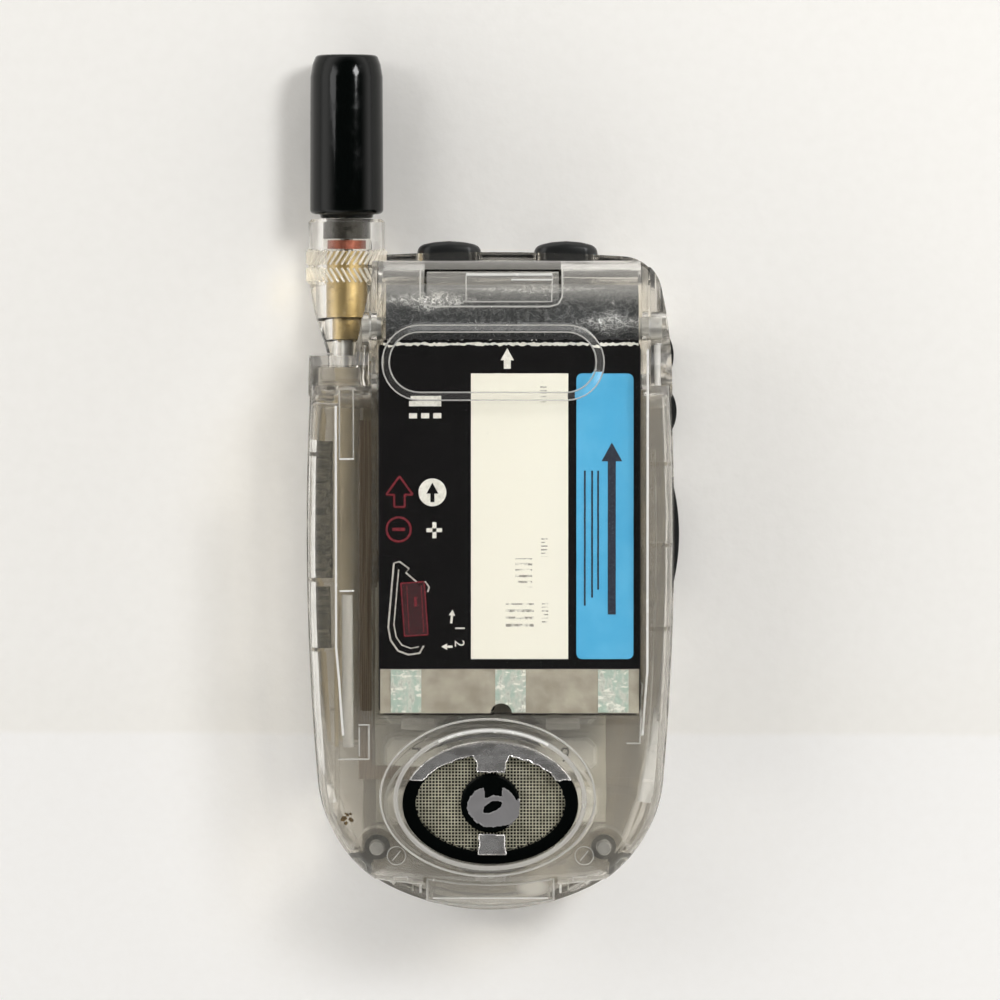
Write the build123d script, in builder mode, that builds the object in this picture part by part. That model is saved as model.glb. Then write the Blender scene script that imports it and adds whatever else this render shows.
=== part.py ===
from build123d import *

import math
import os

# Clamshell phone in a clear casing, closed, lying on its back.
# X runs across the phone, +Y towards the hinge and the antenna, +Z out of the lid's outer face.
# The origin is in the middle of the rear housing's flat back. Everything is in millimetres.

# ---------------------------------------------------------------- plan outline
chin_end = 41.8  # from the middle to the chin's end
hinge_end = 41.1  # from the middle to the hinge end
chin_r = 28.4  # the chin's end arc
chin_sweep = 26.1  # degrees of that arc, each side
corner_r = 16.7  # the arc from the chin into the side
side_lean = 85.0  # direction of the side where it leaves the chin, in degrees
shoulder_half = 22.5
shoulder_y = 27.0
neck_half = 21.2
neck_y = 36.8
crown_half = 16.9
crown_y = 40.55

# ---------------------------------------------------------------- base heights and walls
wall = 1.2
floor_t = 1.3
split_z = 7.0  # joint between the two base housings
base_z = 13.0  # the base's front face
plate_t = 1.2  # the base's front plate
back_round = 3.0
seat_gap = 0.15  # room round a piece that sits in an opening
part_gap = 0.3  # room between the lid and the base

# ---------------------------------------------------------------- hinge
axis_y = 31.5
axis_z = 17.0
barrel_r = 8.5
barrel_left = -14.75
barrel_right = 19.6
barrel_wall = 0.7
pin_r = 1.4
pin_play = 0.05
pin_left = -16.0
pin_right = 21.4
lid_wrap_end = 24.5  # where the lid's wide sides stop
liner_t = 1.1  # wall under the base's hinge trough
end_wall_drop = 6.4  # the hinge end wall stops this far below the axis, clear of the open lid

# ---------------------------------------------------------------- lid
lid_inset = 0.5  # the lid's edge lies this far inside the base's
lid_end = 38.3  # from the middle to the lid's free end
lid_end_r = 94.0
lid_top_r = 800.0  # the lid's outer face falls away from the hinge on this arc
lid_round = 2.0
lid_wall = 1.2
lid_skin = 1.9
inner_cover_t = 1.0
cover_drop = 0.2  # the inner cover stands back from the lid's rim
tray_floor = 0.8

rib_t = 0.5
margin_rib_x = -19.15  # long rib down the lid's antenna side
left_web_y = (22.1, 15.7, 0.1, -8.6)
right_web_y = (14.5, 4.4, -6.0)
post_r = 1.25
post_x, post_y = 11.6, -33.9
post_slot = 0.4
snap_x, snap_y = 11.25, -36.95
snap_w, snap_t, snap_h = 1.9, 0.5, 3.4
flex_w = 1.7
flex_t = 0.25
flex_turn_y = -23.4

# ---------------------------------------------------------------- battery
battery_left = -13.9
battery_right = 18.7
battery_end = -16.4
battery_h = 5.4
cell_left = -13.0
cell_right = 18.45
cell_y = 29.6
film = 0.15  # label and strip thickness
foil = 0.18
label_end = -10.7
pad_w = 3.8
pad_x = (-10.5, 2.5, 15.3)
notch_r = 1.35
notch_x = 1.35
bay_gap = 0.15

# ---------------------------------------------------------------- battery door
door_right = 19.3
door_end = -16.8
door_t = 1.1
door_corner = 2.5
ledge = 0.8
finger_w = 27.5
finger_h = 9.8
finger_rim = 1.1
finger_depth = 0.6
finger_x = 0.3
finger_y = 27.5
tongue_w = 17.0
tongue_y = 34.2
tongue_end = 38.9
tongue_slit = 0.3
tab_x = 9.0
tab_w = 3.6
tab_t = 0.5
tab_reach = 1.2

# ---------------------------------------------------------------- speaker emblem
emblem_y = -27.6
bezel_w, bezel_h = 27.3, 18.3
ring_w, ring_h = 21.9, 15.2
mesh_w, mesh_h = 18.6, 12.2
bezel_rise = 0.45
bezel_slope = 0.8
ring_t = 1.1
ring_drop = 0.2
mesh_t = 0.3
mesh_lap = 0.3
disc_r = 3.7
bridge_w = 3.6
bridge_t = 0.25
crest_w = 1.6
emblem_boss = 3.2
earpiece_r = 5.5
earpiece_t = 2.6

# ---------------------------------------------------------------- antenna
mast_x = -18.25
mast_z = 5.3
shoulder_end = 28.2
collar_r = 4.85
collar_end = 45.3
taper_knee_y, taper_knee_r = 33.2, 4.05
grip_start, grip_end = 37.1, 41.5
grip_ribs = 20
collar_bore = 2.65
shank_r = 2.2
tube_r = 1.6
tube_bore = 1.22
tube_end = -21.0
cradle_l = 3.6  # cradle on the floor that holds the tube's end
cradle_wall = 0.6
rod_r = 0.8
rod_play = 0.08
stop_r = 1.15
stop_end = -19.0
stop_l = 2.5
cap_r = 4.65
cap_tip_r = 3.7
cap_start = collar_end + 0.6
cap_end = 66.0
cap_neck_r = 3.35

# ---------------------------------------------------------------- keys
key_w = 7.8
key_h = 4.3
key_pitch_x = 9.4
key_pitch_y = 6.2
key_top_y = -3.6  # the function row
key_rows = 5
key_proud = 0.1
key_flange = 0.7
key_travel = 0.4
key_flange_t = 0.6
key_corner = 1.1
board_z = 8.0
board_t = 1.0
dome_t = 0.25
dome_h = 0.6
dome_r = 2.2
dome_slope = 55.0

side_key_h = 3.2
side_key_z = 4.7
side_key_proud = 0.8
side_key_flange = 0.6
side_keys = {
    "volume_up_key": (28.0, 6.0),
    "volume_down_key": (20.9, 6.0),
    "side_call_key": (5.3, 14.6),
}

# ---------------------------------------------------------------- display and end face
display_w = 27.0
display_y0, display_y1 = 3.4, 20.6
display_t = 2.2
window_t = 1.0
window_lap = 1.0
oval_w = 8.1
oval_h = 4.0
oval_z = 4.9
oval_proud = 1.5
oval_edge = 0.6
light_x = -5.25
light_w = 1.6
plug_x = 9.55
jack_bore = 1.27
plug_stem_r = 1.2
plug_stem_l = 4.5
jack_w = 6.4
jack_y0, jack_y1 = 27.0, 38.6
jack_h = 4.4
end_board_z = 1.6
end_board_t = 0.8

# ---------------------------------------------------------------- chin end
block_half = 8.1  # raised block on the chin that fills the notch in the lid's free end
block_mid = 37.7  # from the middle to its back face
block_back_r = 47.0
block_top = 18.6
block_shelf = 2.0
block_foot = 15.2  # height of its front edge
block_inset = 0.4
pocket_x0, pocket_x1 = 9.7, 12.9
pocket_y = -37.6
pocket_inset = 0.8
pocket_depth = 0.8
mic_y = -36.8
dock_w = 14.8
dock_h = 3.0
dock_z = 3.4
dock_depth = 6.0
motor_r = 1.9
motor_x = 6.0
motor_l = 7.0
motor_y = -28.9
motor_z = 3.7
weight_l = 2.4
shaft_r = 0.4

# ---------------------------------------------------------------- fasteners
screw_spots = [(-14.2, -33.3), (14.2, -33.3), (-13.2, 22.9), (17.2, 22.9)]
screw_r = 0.9
screw_head_r = 1.5
screw_head_t = 1.0
screw_sink = 1.2
boss_r = 2.1
lid_screw_x = 14.2
lid_screw_y = -33.3
lid_well_r = 1.9

lid_z = base_z + part_gap
tray_z = axis_z - tray_floor
door_left = mast_x + rod_r + 0.45  # the door passes beside the drawn-out antenna rod
far = 60.0  # longer than any piece, for cuts that run right through
pieces = []


def keep(block, label):
    """Name a finished piece and put it on the list to be written."""
    block.part.label = label
    pieces.append(block.part)


def box_between(low, high, mode=Mode.ADD):
    """Box from its low corner to its high corner."""
    size = [b - a for a, b in zip(low, high)]
    with Locations(low):
        Box(*size, align=(Align.MIN, Align.MIN, Align.MIN), mode=mode)


def panel_between(low, high, mode=Mode.ADD):
    """Rectangle from its low corner to its high corner."""
    with Locations(low):
        Rectangle(high[0] - low[0], high[1] - low[1], align=(Align.MIN, Align.MIN), mode=mode)


def facing_hinge_end(y):
    """Upright plane across the phone at y, with X to the right and Z up."""
    return Plane(origin=(0, y, 0), x_dir=(1, 0, 0), z_dir=(0, -1, 0))


def rod_across(x0, x1, radius, y=axis_y, z=axis_z, mode=Mode.ADD):
    """Round bar along X, on the hinge axis unless told otherwise."""
    with Locations(Plane(origin=(x0, y, z), x_dir=(0, 1, 0), z_dir=(1, 0, 0))):
        Cylinder(radius, x1 - x0, align=(Align.CENTER, Align.CENTER, Align.MIN), mode=mode)


# ---------------------------------------------------------------- outlines
with BuildLine() as plan_line:
    chin_arc = JernArc((0, -chin_end), (1, 0), chin_r, chin_sweep)
    corner_arc = JernArc(chin_arc @ 1, chin_arc % 1, corner_r, side_lean - chin_sweep)
    side_arc = TangentArc(corner_arc @ 1, (shoulder_half, shoulder_y), tangent=corner_arc % 1)
    neck_arc = TangentArc(side_arc @ 1, (neck_half, neck_y), tangent=side_arc % 1)
    crown_arc = TangentArc(neck_arc @ 1, (crown_half, crown_y), tangent=neck_arc % 1)
    mirror(about=Plane.YZ)
    ThreePointArc(crown_arc @ 1, (0, hinge_end), (-crown_half, crown_y))


def outline(inset=0.0):
    """The phone's plan outline, drawn in by inset."""
    with BuildSketch() as plan:
        with BuildLine():
            add(plan_line.line)
        make_face()
        if inset:
            offset(amount=-inset, mode=Mode.REPLACE)
    return plan.sketch


def half_breadth(y):
    """Half the outline's breadth at y, on the side or the neck."""
    arc = side_arc if y < shoulder_y else neck_arc
    centre = arc.arc_center
    return centre.X + math.sqrt(arc.radius**2 - (y - centre.Y) ** 2)


def chamfered_panel(width, height, corner):
    """Rectangle with its four corners cut off."""
    with BuildSketch() as panel:
        Rectangle(width, height)
        chamfer(panel.vertices(), corner)
    return panel.sketch


def antenna_notch(foot, head):
    """Corner of the plan that is left out beside the antenna collar."""
    with BuildSketch() as corner:
        Polygon(
            (-far, shoulder_end),
            (foot, shoulder_end),
            (head, hinge_end - wall),
            (head, far),
            (-far, far),
            align=None,
        )
    return corner.sketch


mast_plane = Plane(origin=(mast_x, 0, mast_z), x_dir=(0, 1, 0), z_dir=(1, 0, 0))
mast_axis = Axis((mast_x, 0, mast_z), (0, 1, 0))
low_notch = antenna_notch(-16.6, -13.1)
high_notch = antenna_notch(-16.9, -14.2)
lug_z = mast_z + collar_r + 0.15  # the hinge lug passes over the collar above this


def base_plan(inset=0.0):
    """Outline of the base housings, with the antenna's corner left out."""
    with BuildSketch() as plan:
        add(outline())
        add(low_notch, mode=Mode.SUBTRACT)
        if inset:
            offset(amount=-inset, mode=Mode.REPLACE)
    return plan.sketch


def collar_side(grow=0.0):
    """Half section of the collar's outside beyond the shoulder, along the antenna's line."""
    with BuildSketch(mast_plane) as half:
        with BuildLine():
            Polyline(
                (shoulder_end + 0.1, 0),
                (shoulder_end + 0.1, shank_r + 0.3 + grow),
                (taper_knee_y, taper_knee_r + grow),
                (grip_start, collar_r - 0.1 + grow),
                (grip_end, collar_r - 0.1 + grow),
                (grip_end, collar_r + grow),
                (collar_end - 0.4, collar_r + grow),
                (collar_end, collar_r - 0.4 + grow),
                (collar_end, 0),
                close=True,
            )
        make_face()
    return half.sketch


def block_plan(grow=0.0):
    """Where the chin's block stands: a strip beyond an arc that runs round the emblem."""
    with BuildSketch() as plan:
        panel_between((-block_half - grow, -far), (block_half + grow, 0))
        with Locations((0, block_back_r - block_mid)):
            Circle(block_back_r - grow, mode=Mode.SUBTRACT)
    return plan.sketch


def lid_plan(inset=0.0):
    """Outline of the lid, cut across by its free end's flatter arc."""
    with BuildSketch() as plan:
        add(outline(lid_inset))
        with Locations((0, lid_end_r - lid_end)):
            Circle(lid_end_r, mode=Mode.INTERSECT)
        if inset:
            offset(amount=-inset, mode=Mode.REPLACE)
    return plan.sketch


def lid_form(depth=0.0):
    """Bar with the lid's side view, its outer face drawn in by depth."""
    top_r = lid_top_r - depth
    sweep = math.degrees(math.asin((axis_y + far) / top_r))
    with BuildPart() as form:
        with BuildSketch(Plane.YZ.offset(-far)):
            with BuildLine():
                crown = CenterArc((axis_y, axis_z + barrel_r - lid_top_r), top_r, 90, sweep)
                Polyline(crown @ 1, (-far, lid_z), (axis_y, lid_z), crown @ 0)
            make_face()
            with Locations((axis_y, axis_z)):
                Circle(barrel_r - depth)
        extrude(amount=2 * far)
    return form.part


def lid_face_z(y):
    """Height of the lid's outer face at y."""
    drop = lid_top_r - math.sqrt(lid_top_r**2 - (axis_y - y) ** 2)
    return axis_z + barrel_r - drop


def door_plan(grow=0.0):
    """Plan of the battery door: wide over the lid, narrow over the hinge barrel."""
    left = barrel_left + barrel_wall + bay_gap
    right = barrel_right - barrel_wall - bay_gap
    with BuildSketch() as plan:
        panel_between((door_left, door_end), (door_right, lid_wrap_end - seat_gap))
        fillet(plan.vertices(), door_corner)
        panel_between((left, axis_y - barrel_r), (right, axis_y + barrel_r))
        if grow:
            offset(amount=grow, kind=Kind.INTERSECTION, mode=Mode.REPLACE)
    return plan.sketch


# ================================================================ rear housing
with BuildPart() as base_hollow:
    # Room inside both housings, with a wall left round the antenna's collar.
    with BuildSketch(Plane.XY.offset(floor_t)):
        add(base_plan(wall))
    extrude(amount=base_z - plate_t - floor_t)
    revolve(collar_side(seat_gap + wall), axis=mast_axis, mode=Mode.SUBTRACT)

with BuildPart() as rear_housing:
    with BuildSketch():
        add(outline())
    extrude(amount=split_z)
    fillet(rear_housing.edges().group_by(Axis.Z)[0], back_round)
    with BuildSketch():
        add(low_notch)
    extrude(amount=split_z, mode=Mode.SUBTRACT)
    add(base_hollow.part, mode=Mode.SUBTRACT)
    revolve(collar_side(seat_gap), axis=mast_axis, mode=Mode.SUBTRACT)
    # Screw bosses, counterbored from the back.
    with Locations(*[(x, y, floor_t) for x, y in screw_spots]):
        Cylinder(boss_r, board_z - floor_t - 0.1, align=(Align.CENTER, Align.CENTER, Align.MIN))
    with Locations(*[Plane(origin=(x, y, 0), z_dir=(0, 0, -1)) for x, y in screw_spots]):
        CounterBoreHole(screw_r + 0.15, screw_head_r + 0.15, screw_sink + screw_head_t)
    # Cross ribs on the floor.
    for rib_y in (-24.0, -14.0, -4.0, 6.0, 16.0):
        box_between((-15.4, rib_y - 0.4, floor_t - 0.1), (20.6, rib_y + 0.4, floor_t + 0.7))
    # Cradle round the end of the antenna tube.
    cradle_half = tube_r + seat_gap + cradle_wall
    box_between(
        (mast_x - cradle_half, tube_end - cradle_wall - 0.1, floor_t - 0.1),
        (mast_x + cradle_half, tube_end + cradle_l, mast_z),
    )
    box_between(
        (mast_x - tube_r - seat_gap, tube_end - 0.1, mast_z - tube_r - 0.1),
        (mast_x + tube_r + seat_gap, far, far),
        mode=Mode.SUBTRACT,
    )
    # Oval openings in the hinge end, dock opening in the chin, holes for the side keys.
    with BuildSketch(facing_hinge_end(far)):
        with Locations((light_x, oval_z), (plug_x, oval_z)):
            SlotOverall(oval_w + 2 * seat_gap, oval_h + 2 * seat_gap)
    extrude(amount=far - jack_y1 - 0.1, mode=Mode.SUBTRACT)
    with BuildSketch(facing_hinge_end(-chin_end + dock_depth)):
        with Locations((0, dock_z + dock_h / 2)):
            RectangleRounded(dock_w + 2 * seat_gap, dock_h + 2 * seat_gap, 0.8)
    extrude(amount=far, mode=Mode.SUBTRACT)
    for key_y, key_l in side_keys.values():
        with BuildSketch(Plane.YZ.offset(half_breadth(key_y) - 2 * wall)):
            with Locations((key_y, side_key_z)):
                SlotOverall(key_l + 2 * seat_gap, side_key_h + 2 * seat_gap)
        extrude(amount=far, mode=Mode.SUBTRACT)
    # Hole for the antenna collar's shank.
    with Locations(Plane(origin=(mast_x, shoulder_end + 1, mast_z), z_dir=(0, 1, 0))):
        Hole(shank_r + pin_play, depth=1 + 2 * wall)
keep(rear_housing, "rear_housing")

# ================================================================ front housing
trough_r = barrel_r + part_gap
trough_left = barrel_left - part_gap
trough_right = barrel_right + part_gap

with BuildPart() as hinge_ears:
    rod_across(-far, far, barrel_r)
    with BuildSketch():
        add(outline())
    extrude(amount=far, mode=Mode.INTERSECT)

with BuildPart() as front_hollow:
    rod_across(-far, trough_left - liner_t, barrel_r - wall)
    with BuildSketch(Plane.XY.offset(split_z)):
        add(base_plan(wall))
    extrude(amount=far, mode=Mode.INTERSECT)
    add(base_hollow.part)
    rod_across(trough_left - liner_t, trough_right + liner_t, trough_r + liner_t, mode=Mode.SUBTRACT)
    # The hinge end's wall turns in under the open lid and closes the hollow there.
    box_between(
        (trough_left - liner_t, axis_y, axis_z - end_wall_drop - wall), (far, far, far), mode=Mode.SUBTRACT
    )
    with Locations(*[(x, y, board_z + board_t + 0.1) for x, y in screw_spots]):
        Cylinder(
            boss_r, far, align=(Align.CENTER, Align.CENTER, Align.MIN), mode=Mode.SUBTRACT
        )

key_spots = [
    ((column - 1) * key_pitch_x, key_top_y - row * key_pitch_y)
    for row in range(key_rows)
    for column in range(3)
]

with BuildPart() as chin_block:
    # Raised block with a flat shelf at the back, sloping down to the chin's edge.
    with BuildSketch(Plane.YZ.offset(-far)):
        Polygon(
            (-block_mid + 1, base_z - plate_t / 2),
            (-block_mid + 1, block_top),
            (-block_mid - block_shelf, block_top),
            (-chin_end, block_foot),
            (-chin_end, base_z - plate_t / 2),
            align=None,
        )
    extrude(amount=2 * far)
    with BuildSketch():
        add(block_plan())
        add(outline(block_inset), mode=Mode.INTERSECT)
    extrude(amount=far, mode=Mode.INTERSECT)

with BuildPart() as block_hollow:
    with BuildSketch(Plane.YZ.offset(-far)):
        Polygon(
            (-block_mid + 1, base_z - plate_t),
            (-block_mid + 1, block_top - wall),
            (-block_mid - block_shelf, block_top - wall),
            (-chin_end, block_foot - wall),
            (-chin_end, base_z - plate_t),
            align=None,
        )
    extrude(amount=2 * far)
    with BuildSketch():
        add(block_plan(-wall))
        add(outline(block_inset + wall), mode=Mode.INTERSECT)
    extrude(amount=far, mode=Mode.INTERSECT)

with BuildPart() as front_housing:
    with BuildSketch(Plane.XY.offset(split_z)):
        add(outline())
    extrude(amount=base_z - split_z)
    add(chin_block.part)
    add(hinge_ears.part)
    rod_across(trough_left, trough_right, trough_r, mode=Mode.SUBTRACT)
    box_between(
        (trough_left, axis_y, axis_z - end_wall_drop), (trough_right, far, far), mode=Mode.SUBTRACT
    )
    with BuildSketch():
        add(low_notch)
    extrude(amount=lug_z, mode=Mode.SUBTRACT)
    with BuildSketch(Plane.XY.offset(lug_z)):
        add(high_notch)
    extrude(amount=far, mode=Mode.SUBTRACT)
    add(front_hollow.part, mode=Mode.SUBTRACT)
    revolve(collar_side(seat_gap), axis=mast_axis, mode=Mode.SUBTRACT)
    with BuildSketch(Plane.XY.offset(base_z)):
        with Locations(*key_spots):
            add(chamfered_panel(key_w + 2 * seat_gap, key_h + 2 * seat_gap, key_corner))
    extrude(amount=-plate_t, mode=Mode.SUBTRACT)
    add(block_hollow.part, mode=Mode.SUBTRACT)
    # Display opening with a ledge for the window.
    display_mid = (display_y0 + display_y1) / 2
    display_l = display_y1 - display_y0
    with BuildSketch(Plane.XY.offset(base_z)):
        with Locations((0, display_mid)):
            RectangleRounded(display_w + 2 * seat_gap, display_l + 2 * seat_gap, 2.0)
    extrude(amount=-window_t, mode=Mode.SUBTRACT)
    with BuildSketch(Plane.XY.offset(base_z)):
        with Locations((0, display_mid)):
            RectangleRounded(display_w - 2 * window_lap, display_l - 2 * window_lap, 1.5)
    extrude(amount=-plate_t, mode=Mode.SUBTRACT)
    # Microphone hole and two shallow pockets beside the block.
    with Locations((0, mic_y, base_z)):
        Hole(0.5, depth=plate_t)
    with BuildSketch(Plane.XY.offset(base_z)):
        panel_between((-pocket_x1, -far), (-pocket_x0, pocket_y))
        panel_between((pocket_x0, -far), (pocket_x1, pocket_y))
        add(outline(pocket_inset), mode=Mode.INTERSECT)
    extrude(amount=-pocket_depth, mode=Mode.SUBTRACT)
    with Locations(*[(x, y, base_z - plate_t) for x, y in screw_spots]):
        Hole(screw_r - 0.05, depth=base_z - plate_t - board_z)
    with Locations(Plane(origin=(pin_right, axis_y, axis_z), z_dir=(1, 0, 0))):
        Hole(pin_r, depth=pin_right - pin_left)
    with Locations(Plane(origin=(mast_x, shoulder_end + 1, mast_z), z_dir=(0, 1, 0))):
        Hole(shank_r + pin_play, depth=1 + 2 * wall)
keep(front_housing, "front_housing")

with BuildPart() as hinge_pins:
    rod_across(pin_left, barrel_left + barrel_wall + 0.4, pin_r)
    rod_across(barrel_right - barrel_wall - 0.2, pin_right, pin_r)
keep(hinge_pins, "hinge_pins")

with BuildPart() as housing_screws:
    for x, y in screw_spots:
        with Locations((x, y, screw_sink)):
            Cylinder(screw_head_r, screw_head_t, align=(Align.CENTER, Align.CENTER, Align.MIN))
            Cylinder(
                screw_r - 0.05,
                base_z - plate_t - screw_sink - 0.3,
                align=(Align.CENTER, Align.CENTER, Align.MIN),
            )
        with Locations((x, y, screw_sink)):
            Box(2 * screw_head_r, 0.5, 0.8, mode=Mode.SUBTRACT)
keep(housing_screws, "housing_screws")

# ================================================================ boards and what they carry
board_left = mast_x + tube_r + 0.5
liner_drop = axis_z - board_z - board_t
board_end = axis_y - math.sqrt((trough_r + liner_t) ** 2 - liner_drop**2) - 0.4

with BuildPart() as main_board:
    with BuildSketch(Plane.XY.offset(board_z)):
        add(base_plan(wall + 0.5))
        panel_between((board_left, -far), (far, board_end), mode=Mode.INTERSECT)
        with Locations(*screw_spots):
            Circle(screw_r + 0.3, mode=Mode.SUBTRACT)
    extrude(amount=board_t)
keep(main_board, "main_board")

with BuildPart() as end_board:
    box_between((-12.0, 25.2, end_board_z), (16.0, 39.2, end_board_z + end_board_t))
    fillet(end_board.edges().filter_by(Axis.Z), 1.5)
keep(end_board, "end_board")

with BuildPart() as board_shields:
    for low, high in (
        ((-14.5, -3.0), (1.5, 15.0)),
        ((4.0, -12.0), (18.5, 15.0)),
        ((-12.0, -25.0), (1.5, -6.0)),
    ):
        box_between((*low, board_z - 2.8), (*high, board_z))
    fillet(board_shields.edges().filter_by(Axis.Z), 1.0)
keep(board_shields, "board_shields")

with BuildPart() as key_dome_sheet:
    with BuildSketch(Plane.XY.offset(board_z + board_t)):
        panel_between((-14.6, -31.0), (14.6, -1.0))
    extrude(amount=dome_t)
    with BuildSketch(Plane.XY.offset(board_z + board_t + dome_t)):
        with Locations(*key_spots):
            RegularPolygon(dome_r, 8)
    extrude(amount=dome_h, taper=dome_slope)
keep(key_dome_sheet, "key_dome_sheet")

with BuildPart() as display_module:
    box_between(
        (-display_w / 2 - 0.6, display_y0, board_z + board_t),
        (display_w / 2 + 0.6, display_y1, board_z + board_t + display_t),
    )
    with BuildSketch(Plane.XY.offset(board_z + board_t + display_t)):
        with Locations((0, display_mid)):
            Rectangle(display_w - 3.0, display_l - 4.0)
    extrude(amount=-0.3, mode=Mode.SUBTRACT)
keep(display_module, "display_module")

with BuildPart() as display_window:
    with BuildSketch(Plane.XY.offset(base_z - window_t)):
        with Locations((0, display_mid)):
            RectangleRounded(display_w, display_l, 1.9)
    extrude(amount=window_t)
keep(display_window, "display_window")

with BuildPart() as microphone:
    with Locations((0, mic_y, board_z + board_t)):
        Cylinder(2.0, 2.0, align=(Align.CENTER, Align.CENTER, Align.MIN))
        Hole(0.4, depth=1.0)
keep(microphone, "microphone")

# ================================================================ keys
flange_z = board_z + board_t + dome_t + dome_h + key_travel + 0.1
key_names = ["send_key", "menu_key", "end_key"]
key_names += [f"key_{label}" for label in ("1", "2", "3", "4", "5", "6", "7", "8", "9", "star", "0", "hash")]

for key_name, (key_x, key_y) in zip(key_names, key_spots):
    with BuildPart() as key:
        with BuildSketch(Plane.XY.offset(flange_z)):
            with Locations((key_x, key_y)):
                add(chamfered_panel(key_w + 2 * key_flange - 0.4, key_h + 2 * key_flange - 0.4, key_corner))
        extrude(amount=key_flange_t)
        with BuildSketch(Plane.XY.offset(flange_z)):
            with Locations((key_x, key_y)):
                add(chamfered_panel(key_w, key_h, key_corner))
        extrude(amount=base_z + key_proud - flange_z)
        chamfer(key.edges().group_by(Axis.Z)[-1], 0.3)
    keep(key, key_name)

for key_name, (key_y, key_l) in side_keys.items():
    face_x = half_breadth(key_y)
    seat_x = face_x - wall
    with BuildPart() as key:
        with BuildSketch(Plane.XY.offset(side_key_z - side_key_h / 2)):
            with BuildLine():
                Polyline(
                    (face_x - 0.2, key_y + key_l / 2),
                    (seat_x - 0.4, key_y + key_l / 2),
                    (seat_x - 0.4, key_y - key_l / 2),
                    (face_x - 0.2, key_y - key_l / 2),
                )
                ThreePointArc(
                    (face_x - 0.2, key_y - key_l / 2),
                    (face_x + side_key_proud, key_y),
                    (face_x - 0.2, key_y + key_l / 2),
                )
            make_face()
        extrude(amount=side_key_h)
        with BuildSketch(Plane.YZ.offset(seat_x - 1.0)):
            with Locations((key_y, side_key_z)):
                SlotOverall(key_l, side_key_h)
        extrude(amount=far, mode=Mode.INTERSECT)
        with BuildSketch(Plane.YZ.offset(seat_x - 0.4)):
            with Locations((key_y, side_key_z)):
                SlotOverall(key_l + 1.0, side_key_h + 0.9)
        extrude(amount=-side_key_flange)
    keep(key, key_name)

# ================================================================ hinge end: status light and headset socket
with BuildPart() as status_light_bezel:
    with BuildSketch(facing_hinge_end(hinge_end + oval_proud)):
        with Locations((light_x, oval_z)):
            SlotOverall(oval_w, oval_h)
    extrude(amount=oval_proud + wall + 0.6)
    chamfer(status_light_bezel.faces().sort_by(Axis.Y)[-1].edges(), oval_edge)
    with BuildSketch(facing_hinge_end(hinge_end + oval_proud)):
        with Locations((light_x, oval_z)):
            RectangleRounded(light_w, oval_h - 1.4, 0.5)
    extrude(amount=far, mode=Mode.SUBTRACT)
keep(status_light_bezel, "status_light_bezel")

with BuildPart() as status_light_lens:
    with BuildSketch(facing_hinge_end(hinge_end + oval_proud - 0.1)):
        with Locations((light_x, oval_z)):
            RectangleRounded(light_w, oval_h - 1.4, 0.5)
    extrude(amount=5.0)
keep(status_light_lens, "status_light_lens")

with BuildPart() as headset_jack:
    jack_floor = end_board_z + end_board_t
    box_between(
        (plug_x - jack_w / 2, jack_y0, jack_floor),
        (plug_x + jack_w / 2, jack_y1, jack_floor + jack_h),
    )
    fillet(headset_jack.edges().filter_by(Axis.Y), 0.8)
    with Locations(Plane(origin=(plug_x, jack_y1, oval_z), z_dir=(0, 1, 0))):
        Hole(jack_bore, depth=jack_y1 - jack_y0 - 1.0)
keep(headset_jack, "headset_jack")

with BuildPart() as headset_plug:
    with BuildSketch(facing_hinge_end(hinge_end + oval_proud)):
        with Locations((plug_x, oval_z)):
            SlotOverall(oval_w, oval_h)
    extrude(amount=oval_proud + wall + 0.6)
    chamfer(headset_plug.faces().sort_by(Axis.Y)[-1].edges(), oval_edge)
    with Locations(Plane(origin=(plug_x, hinge_end, oval_z), z_dir=(0, -1, 0))):
        Cylinder(
            plug_stem_r,
            hinge_end - jack_y1 + plug_stem_l,
            align=(Align.CENTER, Align.CENTER, Align.MIN),
        )
keep(headset_plug, "headset_plug")

# ================================================================ chin end: dock connector and vibration motor
with BuildPart() as dock_connector:
    with BuildSketch(facing_hinge_end(-chin_end + dock_depth)):
        with Locations((0, dock_z + dock_h / 2)):
            RectangleRounded(dock_w, dock_h, 0.7)
    extrude(amount=dock_depth - 0.4)
    with BuildSketch(facing_hinge_end(-chin_end + dock_depth - 1.5)):
        with Locations((0, dock_z + dock_h / 2)):
            RectangleRounded(dock_w - 1.0, dock_h - 1.0, 0.4)
    extrude(amount=far, mode=Mode.SUBTRACT)
    box_between(
        (-dock_w / 2 + 1.0, -chin_end + 1.4, dock_z + dock_h / 2 - 0.3),
        (dock_w / 2 - 1.0, -chin_end + dock_depth - 1.0, dock_z + dock_h / 2 + 0.3),
    )
keep(dock_connector, "dock_connector")

with BuildPart() as vibration_motor:
    rod_across(motor_x, motor_x + motor_l, motor_r, motor_y, motor_z)
    rod_across(motor_x, motor_x + motor_l + weight_l + 0.8, shaft_r, motor_y, motor_z)
    box_between(
        (motor_x + 0.5, motor_y - 1.6, floor_t), (motor_x + motor_l - 0.5, motor_y + 1.6, motor_z)
    )
keep(vibration_motor, "vibration_motor")

with BuildPart() as motor_weight:
    rod_across(motor_x + motor_l + 0.5, motor_x + motor_l + 0.5 + weight_l, motor_r, motor_y, motor_z)
    box_between(
        (motor_x, motor_y - 3, motor_z + 0.8), (motor_x + far, motor_y + 3, far), mode=Mode.SUBTRACT
    )
    rod_across(motor_x, motor_x + far, shaft_r + pin_play, motor_y, motor_z, mode=Mode.SUBTRACT)
keep(motor_weight, "motor_weight")

# ================================================================ antenna


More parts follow.
